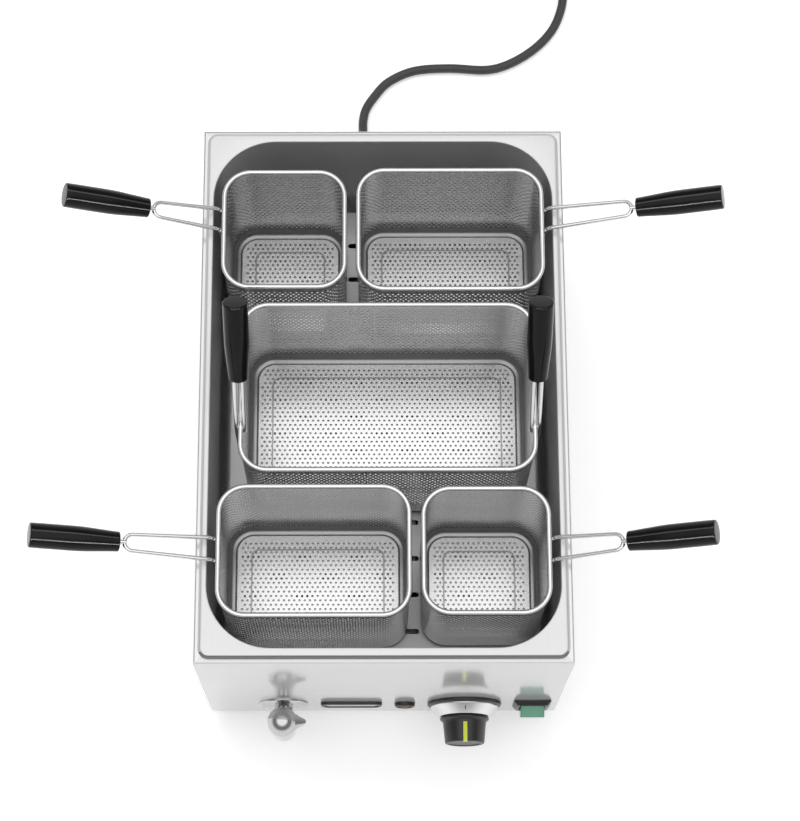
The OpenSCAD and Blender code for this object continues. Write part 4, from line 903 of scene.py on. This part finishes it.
def corner_handle(w, rise, reach):
    """Hairpin wire and stem: up the wall, round the bend, along the slope, round the loop and back."""
    rise = math.radians(rise)
    ahead = np.array([math.cos(rise), 0, math.sin(rise)])
    leg_x = (w + WIRE_D) / 2 - WELD
    run = reach - STEM_SHOW - LOOP_GAP / 2
    turn = np.linspace(0, math.pi / 2 - rise, 9)
    foot = [[leg_x, 0, z] for z in np.linspace(-LEG, -2.0, 4)]
    bend = np.column_stack([leg_x + BEND * (1 - np.cos(turn)), 0 * turn, BEND * np.sin(turn)])
    start = bend[-1]
    along = np.linspace(0, run, 10)[1:-1, None]
    narrowing = WIRE_GAP + (LOOP_GAP - WIRE_GAP) * along / run
    arc = np.linspace(0, math.pi / 2, 9)[:, None]
    half = np.concatenate([
        np.concatenate([foot, bend]) + WIRE_GAP / 2 * ACROSS,
        start + along * ahead + narrowing / 2 * ACROSS,
        start + (run + LOOP_GAP / 2 * np.sin(arc)) * ahead + LOOP_GAP / 2 * np.cos(arc) * ACROSS])
    other = half[-2::-1] * [1, -1, 1]
    wire = tube(np.concatenate([half, other]), WIRE_D / 2, np.cross(ahead, ACROSS), 14)
    stem_at = np.array([[run + LOOP_GAP / 2 - 1.0], [reach + HOLE_DEPTH]])
    stem = tube(start + stem_at * ahead, STEM_D / 2, ACROSS, 14)
    return wire, stem, [np.cross(ACROSS, ahead), ACROSS, ahead], start + reach * ahead


def turned_grip():
    """A grip's outline turned about its axis: a flared neck, a straight barrel and a rounded end."""
    profile = soften([
        [0.1, 0.0], [8.9, 0.0], [9.1, 5.0], [11.25, 34.0], [11.25, 70.0], [11.1, GRIP_L], [0.1, GRIP_L],
    ], [1.0, 3.0, 9.0, 9.0, 1.6], 7)
    return lathe(profile, 56)


def upright_handle(side_x, attach, lean, reach, gap):
    """Two wires astride the rim that stand up and lean back into the grip."""
    lean = math.radians(lean)
    ahead = np.array([0, math.sin(lean), math.cos(lean)])
    base = np.array([side_x, -attach, 0.0])
    wires = []
    for k in (-1, 1):
        outer = k * side_x > 0
        shift = np.array([k * gap / 2, 0, 0])
        foot = base + shift - [0, 0, LEG if outer else RIM_D]
        line = soften([foot, base + shift, base + shift + (reach + HOLE_DEPTH) * ahead], 9.0, 9)
        wires.append(tube(line, WIRE_D / 2, (1, 0, 0), 14))
    grip_axes = [[1, 0, 0], np.cross(ahead, [1, 0, 0]), ahead]
    return wires, grip_axes, base + reach * ahead


# %% Five baskets
def basket_sheets(name, body):
    """Makes a basket's wall, floor and fold. Returns the size and the middle of its rim."""
    low, high = limits(name + "_basket")
    w, l, h = high - low
    foot = np.append((low + high)[:2] / 2, low[2])
    floor_at = foot + [0, 0, FLOOR_LIFT]
    packed = [name + "_basket"]
    make_piece(name + "_sheet", moved(perforated_wall(w, l, h), foot), body, "basket_steel", packed)
    # The floor takes the lighter copy of the basket's steel, as painted light.
    make_piece(
        name + "_base_sheet", moved(perforated_floor(w, l), floor_at), body, "basket_steel", packed,
        finish="basket_floor_lit")
    fold = (w - 2 * FOLD_INSET, l - 2 * FOLD_INSET, FOLD_R)
    fold_rows = [(*grown(fold, -d), z) for d, z in ((0, 0), (0, FOLD_H), (FOLD_W, FOLD_H), (FOLD_W, 0))]
    fold_at = floor_at + [0, 0, BASKET_SHEET]
    make_piece(name + "_base_fold", moved(loft(fold_rows, 6, True), fold_at), body, "basket_steel")
    rim = np.append(foot[:2], high[2] + RIM_GAP + RIM_D / 2)
    return w + 2 * RIM_OVER, l + 2 * RIM_OVER, rim


def corner_basket(name, side, rise, reach):
    """A basket with one handle towards its side of the tank: 1 is right and -1 is left."""
    body = name + "_lift_out"
    w, l, rim = basket_sheets(name, body)
    facing = np.diag([side, side, 1.0])
    handle = np.array([rim[0], middle_of(name + "_grip")[1], rim[2]])
    wire, stem, grip_axes, grip_at = corner_handle(w, rise, reach)
    wires = join(placed(rim_wire(w, l), facing, rim), placed(join(wire, stem), facing, handle))
    make_piece(name + "_wires", wires, body, "wire_steel", [name + "_frame"], WIRE_CREASE)
    grip = placed(placed(turned_grip(), grip_axes, grip_at), facing, handle)
    make_piece(name + "_turned_grip", grip, body, "grip_black", [name + "_grip"])


SMALL = {"rise": 23.0, "reach": 64.0}
MEDIUM = {"rise": 18.0, "reach": 80.0}
corner_basket("rear_left", -1, **SMALL)
corner_basket("rear_right", 1, **MEDIUM)
corner_basket("front_left", -1, **MEDIUM)
corner_basket("front_right", 1, **SMALL)

middle_w, middle_l, middle_rim = basket_sheets("middle", "middle_lift_out")
middle_wires = [rim_wire(middle_w, middle_l)]
for side, grip_name in ((-1, "middle_left"), (1, "middle_right")):
    wires, grip_axes, grip_at = upright_handle(
        side * (middle_w - RIM_D) / 2, attach=41.0, lean=38.0, reach=56.0, gap=7.0)
    middle_wires += wires
    grip = placed(turned_grip(), grip_axes, middle_rim + grip_at)
    make_piece(grip_name + "_turned_grip", grip, "middle_lift_out", "grip_black", [grip_name + "_grip"])
make_piece(
    "middle_wires", moved(join(*middle_wires), middle_rim), "middle_lift_out", "wire_steel",
    ["middle_frame"], WIRE_CREASE)

# %% [markdown]
# ## Controls on the front
# The thermostat has a black ring, a turned silver dial with one mark, and a tapered black knob with a
# bright pointer line. Beside it are a thermometer in an oblong frame, a round pilot lamp and a green
# rocker in a sloped frame. All of them are turned or lofted about an axis that points out of the panel.

# %% Thermostat
DIAL_OUT = 4.0
KNOB_OUT = 15.0
KNOB_L = 25.0
POINTER_HALF = 1.9
knob_x, _, control_z = middle_of("dial_base")


def front_piece(name, shape, x, slot, node, out=0.0, body="cooker"):
    """Stands a shape out of the front panel in place of a node, its foot `out` in front of the panel."""
    make_piece(name, placed(shape, FRONTWARD, [x, FRONT_Y - out, control_z]), body, slot, [node])


ring_profile = soften([[5.3, 0.0], [35.9, 0.0], [36.0, 2.6], [33.6, 4.0], [5.3, 4.0]], [0.4, 1.4, 1.0], 6)
front_piece("dial_back_ring", lathe(ring_profile, 96), knob_x, "control_black", "dial_base")
FINISHES["dial_silver"] = dial_finish(
    knob_x * MM, control_z * MM, mark_low=27.8 * MM, mark_high=30.6 * MM, mark_half=0.4 * MM)
dial_profile = soften([[6.2, 0.0], [32.9, 0.0], [32.9, 0.8], [25.0, 10.0], [6.2, 10.0]], [0.2, 0.5, 0.8], 5)
front_piece("turned_dial", lathe(dial_profile, 96), knob_x, "dial_silver", "dial_ring", DIAL_OUT)
knob_profile = soften([
    [3.2, 0.0], [23.7, 0.0], [23.9, 1.6], [21.6, 3.2], [20.9, 5.0], [19.1, KNOB_L - 0.2], [16.4, KNOB_L],
    [15.4, KNOB_L - 0.9], [0.1, KNOB_L - 0.9],
], [0.4, 0.7, 1.4, 1.2, 1.6, 0.5, 0.5], 6)
front_piece(
    "tapered_knob", lathe(knob_profile, 96), knob_x, "control_black", "thermostat_knob", KNOB_OUT,
    "thermostat_control")
pointer_line = soften([[20.75, 6.5], [19.0, KNOB_L], [10.0, KNOB_L - 0.5]], 1.2, 7)
pointer_ring = np.stack([
    np.insert(pointer_line + [d, d * 0.4], 0, s * POINTER_HALF, axis=1)
    for s, d in ((-1, -0.8), (1, -0.8), (1, 0.16), (-1, 0.16))], axis=1)
front_piece(
    "pointer_strip", surface(pointer_ring[::-1]), knob_x, "pointer_yellow", "knob_pointer", KNOB_OUT,
    "thermostat_control")

# %% Thermometer, lamp and switch
gauge_x = middle_of("thermometer_bezel")[0]
gauge_rows = [
    (54.0, 15.0, 5.0, -18.0), (54.0, 15.0, 5.0, 0.0), (60.0, 21.0, 8.4, 0.0), (60.0, 21.0, 8.4, 1.3),
    (59.4, 20.4, 8.1, 2.3), (58.0, 19.0, 7.4, 2.9), (57.0, 18.0, 6.9, 3.0), (53.2, 14.2, 5.7, 3.0),
    (52.3, 13.3, 5.3, 2.7), (52.0, 13.0, 5.2, 2.2), (52.0, 13.0, 5.2, 1.0),
]
front_piece("thermometer_frame", loft(gauge_rows, 12), gauge_x, "control_black", "thermometer_bezel")
window_rows = [
    (51.6, 12.6, 5.0, 1.05), (51.6, 12.6, 5.0, 1.9), (50.6, 11.6, 4.6, 2.3), (46.0, 7.6, 3.4, 2.5)]
front_piece("thermometer_glass", loft(window_rows, 12), gauge_x, "window_grey", "thermometer_window")

lamp_x = middle_of("lamp_bezel")[0]
lamp_profile = soften([
    [0.1, -26.0], [8.0, -26.0], [8.0, 0.0], [10.0, 0.0], [9.9, 2.4], [8.9, 4.0], [7.2, 4.0], [6.7, 3.2],
    [6.7, 0.5], [0.1, 0.5],
], [0.3, 0.2, 0.2, 0.8, 0.8, 0.4, 0.4, 0.1], 5)
front_piece("lamp_collar", lathe(lamp_profile, 48), lamp_x, "control_black", "lamp_bezel")
LENS_R = 6.4
LENS_EDGE = 2.4
LENS_RISE = 2.0
dome = np.linspace(0, math.pi / 2 - 0.01, 10)
lens_profile = np.column_stack([LENS_R * np.cos(dome), LENS_EDGE + LENS_RISE * np.sin(dome)])
lens_profile = np.concatenate([[[LENS_R, 0.6]], lens_profile])
front_piece("lamp_dome", lathe(lens_profile, 48), lamp_x, "lens_amber", "lamp_lens")

switch_x = middle_of("switch_bezel")[0]
switch_rows = [
    (28.8, 29.0, 1.0, -24.0), (28.8, 29.0, 1.0, 0.0), (36.0, 36.0, 3.0, 0.0), (36.0, 36.0, 3.0, 1.0),
    (35.4, 35.4, 2.9, 1.7), (31.0, 31.0, 2.6, 4.4), (30.2, 30.2, 2.5, 5.0), (29.2, 29.2, 2.4, 5.2),
    (24.8, 26.0, 1.5, 5.2), (24.0, 25.2, 1.2, 4.8), (23.8, 25.0, 1.0, 4.2), (23.8, 25.0, 1.0, -3.0),
]
front_piece("switch_frame", loft(switch_rows, 6), switch_x, "control_black", "switch_bezel")
ROCKER_OUT = 1.0
ROCKER_W = 23.0
ROCKER_HALF = 10.0
ROCKER_EDGE = 6.0
ROCKER_FACE = 11.5
ROCKER_DISH = 1.7
ROCKER_MID = 3.0
TILT = math.radians(10.0)
face = np.linspace(1.0, -1.0, 15)
face_line = np.column_stack([ROCKER_HALF * face, ROCKER_FACE + ROCKER_DISH * face ** 2])
face_line = np.concatenate([[[ROCKER_HALF, ROCKER_EDGE]], face_line, [[-ROCKER_HALF, ROCKER_EDGE]]])
rocker_line = np.concatenate([
    [[ROCKER_HALF, 0.0]], soften(face_line, 0.8, 4), [[-ROCKER_HALF, 0.0], [0.0, -3.0]]])
rocker_side = np.array([-0.5, -0.485, -0.46, 0.46, 0.485, 0.5]) * ROCKER_W
rocker_shrink = np.array([0.93, 0.97, 1.0, 1.0, 0.97, 0.93])[:, None]
rocker_y = rocker_line[:, 0] * rocker_shrink
rocker_h = ROCKER_MID + (rocker_line[:, 1] - ROCKER_MID) * rocker_shrink
rocker_ring = np.stack(np.broadcast_arrays(
    rocker_side[:, None], rocker_y * math.cos(TILT) - rocker_h * math.sin(TILT),
    rocker_y * math.sin(TILT) + rocker_h * math.cos(TILT)), axis=-1)
front_piece(
    "lit_rocker", surface(rocker_ring), switch_x, "rocker_green", "switch_rocker", ROCKER_OUT,
    "switch_control")

# %% [markdown]
# ## Drain tap
# A chromed barrel with a spout stands in front of a round wall plate, and a domed lever with a pointed
# tail turns on top. The barrel and plate are turned, and the lever is a round section that swells and
# narrows along its axis, cut flat underneath.

# %% Drain tap
BARREL_R = 12.0
LEVER_R = 14.5
LEVER_CUT = 7.0
TAIL_R = 2.7
tap_low, tap_high = limits("tap_barrel")
tap_x = (tap_low[0] + tap_high[0]) / 2
tap_y = tap_low[1] + BARREL_R
barrel_profile = soften([
    [0.1, 42.0], [5.5, 42.0], [5.5, tap_low[2]], [8.0, tap_low[2]], [8.0, 47.0], [11.9, 49.5], [11.9, 84.0],
    [10.6, tap_high[2]], [0.1, tap_high[2]],
], [0.4, 0.5, 0.6, 1.5, 2.0, 1.5, 1.0], 6)
shank_length = tap_high[1] - tap_y
shank_profile = soften([[0.1, 0.0], [9.0, 0.0], [9.0, shank_length], [0.1, shank_length]], [0.3, 0.5], 3)
make_piece(
    "tap_body", join(
        moved(lathe(barrel_profile, 64), [tap_x, tap_y, 0]),
        placed(lathe(shank_profile, 48), REARWARD, [tap_x, tap_y, control_z])),
    "cooker", "chrome", ["tap_barrel"])
plate_profile = soften(
    [[9.2, 0.0], [23.9, 0.0], [23.9, 1.0], [21.0, 3.4], [12.5, 4.9], [9.2, 5.0]], [0.3, 0.6, 2.0, 1.5], 6)
front_piece("tap_wall_plate", lathe(plate_profile, 72), tap_x, "chrome", "tap_escutcheon")
lever_low, lever_high = limits("tap_lever")
lever_tip = lever_high[0] - tap_x - 1.0
ball = np.linspace(math.pi - 0.04, math.asin(0.55), 24)
tail = np.linspace(0, 1, 16)[1:]
ball_x, ball_r = LEVER_R * np.cos(ball), LEVER_R * np.sin(ball)
tail_x = ball_x[-1] + (lever_tip - ball_x[-1]) * tail
tail_r = TAIL_R + (ball_r[-1] - TAIL_R) * (1 - tail) ** 1.3 - 0.8 * tail ** 8
lever_x = np.concatenate([ball_x, tail_x])[:, None]
lever_r = np.concatenate([ball_r, tail_r])[:, None]
around = np.linspace(0, 2 * math.pi, 48, endpoint=False)
lever_z = np.maximum(lever_r * np.sin(around), -LEVER_CUT)
lever_ring = np.stack([lever_x + 0 * around, lever_r * np.cos(around), lever_z], axis=-1)
lever = moved(surface(lever_ring), [tap_x, tap_y, lever_low[2] + LEVER_CUT])
make_piece("tap_domed_lever", lever, "tap_control", "chrome", ["tap_lever"], crease=50.0)

# %% [markdown]
# ## Feet
# Four rubber feet, a little wider at the floor, carry the casing.

# %% Feet
FOOT_R = 17.0
feet_low, feet_high = limits("feet")
foot_profile = soften([
    [5.5, 10.0], [5.5, 0.0], [16.9, 0.0], [16.9, 3.0], [15.0, feet_high[2]], [2.4, feet_high[2]],
    [2.4, 10.0], [5.5, 10.0],
], [0.3, 1.2, 2.0, 0.6, 0.3, 0.2], 4)
foot = lathe(foot_profile[:-1], 48, True)
across, along = np.transpose([feet_low + FOOT_R, feet_high - FOOT_R])[:2]
feet = join(*[moved(foot, [x, y, 0]) for x in across for y in along])
make_piece("rubber_feet", feet, "cooker", "foot_rubber", ["feet"])

# %% [markdown]
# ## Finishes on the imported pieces
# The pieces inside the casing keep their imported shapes, and take the finish that their record names.

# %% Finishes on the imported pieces
for part in frame["record"]["subparts"]:
    packed = frame["nodes"][part["node"]]
    packed.data.materials.clear()
    packed.data.materials.append(FINISHES[part["material_slot"]].material)

# %% [markdown]
# ## Floor and light
# A white table fills the view and runs out to the sky. The sky is white overhead and near the table, with
# a grey band between, so that steel shows its form. One broad lamp behind gives a soft shadow in front,
# and two long strips, which light the grips alone, draw a line of light along the black plastic.

# %% Floor and light
FLOOR_HALF = 9.0
TABLE_GLOW = 0.34
floor_corners = [(x * FLOOR_HALF, y * FLOOR_HALF, 0.0) for x, y in ((-1, -1), (1, -1), (1, 1), (-1, 1))]
floor_mesh = bpy.data.meshes.new("table_top")
floor_mesh.from_pydata(floor_corners, [], [(0, 1, 2, 3)])
floor = bpy.data.objects.new("table_top", floor_mesh)
bpy.context.scene.collection.objects.link(floor)
table = Finish(
    "table_white", Roughness=0.9, Base_Color=grey(0.88), Specular_IOR_Level=0.0, Emission_Color=grey(1.0))
ray = table.node("ShaderNodeLightPath")
seen = ray.sibling("Is Camera Ray") + ray.sibling("Is Glossy Ray") + ray.sibling("Is Transmission Ray")
table.feed("Emission Strength", seen * TABLE_GLOW)
floor_mesh.materials.append(table.material)

world = bpy.data.worlds.new("studio")
bpy.context.scene.world = world
world.use_nodes = True
sky = Nodes(world.node_tree)
direction = sky.node("ShaderNodeTexCoord", out="Generated")
height = sky.node("ShaderNodeSeparateXYZ", inputs={0: direction}, out="Z")
stops = [(0.14, grey(1.0)), (0.30, grey(0.32)), (0.66, grey(0.32)), (0.86, grey(1.55))]
shade = sky.node("ShaderNodeValToRGB", {"stops": stops}, {0: height})
background = sky.tree.nodes["Background"]
sky.tree.links.new(shade.socket, background.inputs["Color"])
background.inputs["Strength"].default_value = 1.0


def area_lamp(name, width, length, watts, place, tip):
    """A flat lamp that the camera doesn't see; tip is its turn about x and y, in degrees."""
    data = bpy.data.lights.new(name, "AREA")
    data.shape = "RECTANGLE"
    data.size = width
    data.size_y = length
    data.energy = watts
    lamp = bpy.data.objects.new(name, data)
    lamp.location = place
    lamp.rotation_euler = (math.radians(tip[0]), math.radians(tip[1]), 0)
    lamp.visible_camera = False
    bpy.context.scene.collection.objects.link(lamp)
    return lamp


grips = bpy.data.collections.new("grips")
for piece in bpy.context.scene.objects:
    if piece.name.endswith("_turned_grip"):
        grips.objects.link(piece)
soft_lamp = area_lamp("soft_lamp", 1.6, 1.6, 12.0, (-0.5, 1.0, 2.3), (-24, -12))
soft_lamp.visible_glossy = False
front_strip = area_lamp("front_strip", 5.0, 0.14, 120.0, (0.0, -1.85, 1.55), (55, 0))
rear_strip = area_lamp("rear_strip", 5.0, 0.5, 40.0, (0.0, 1.3, 2.3), (-33, 0))
for strip in (front_strip, rear_strip):
    strip.light_linking.receiver_collection = grips
print("lamps", [lamp.name for lamp in (soft_lamp, front_strip, rear_strip)])
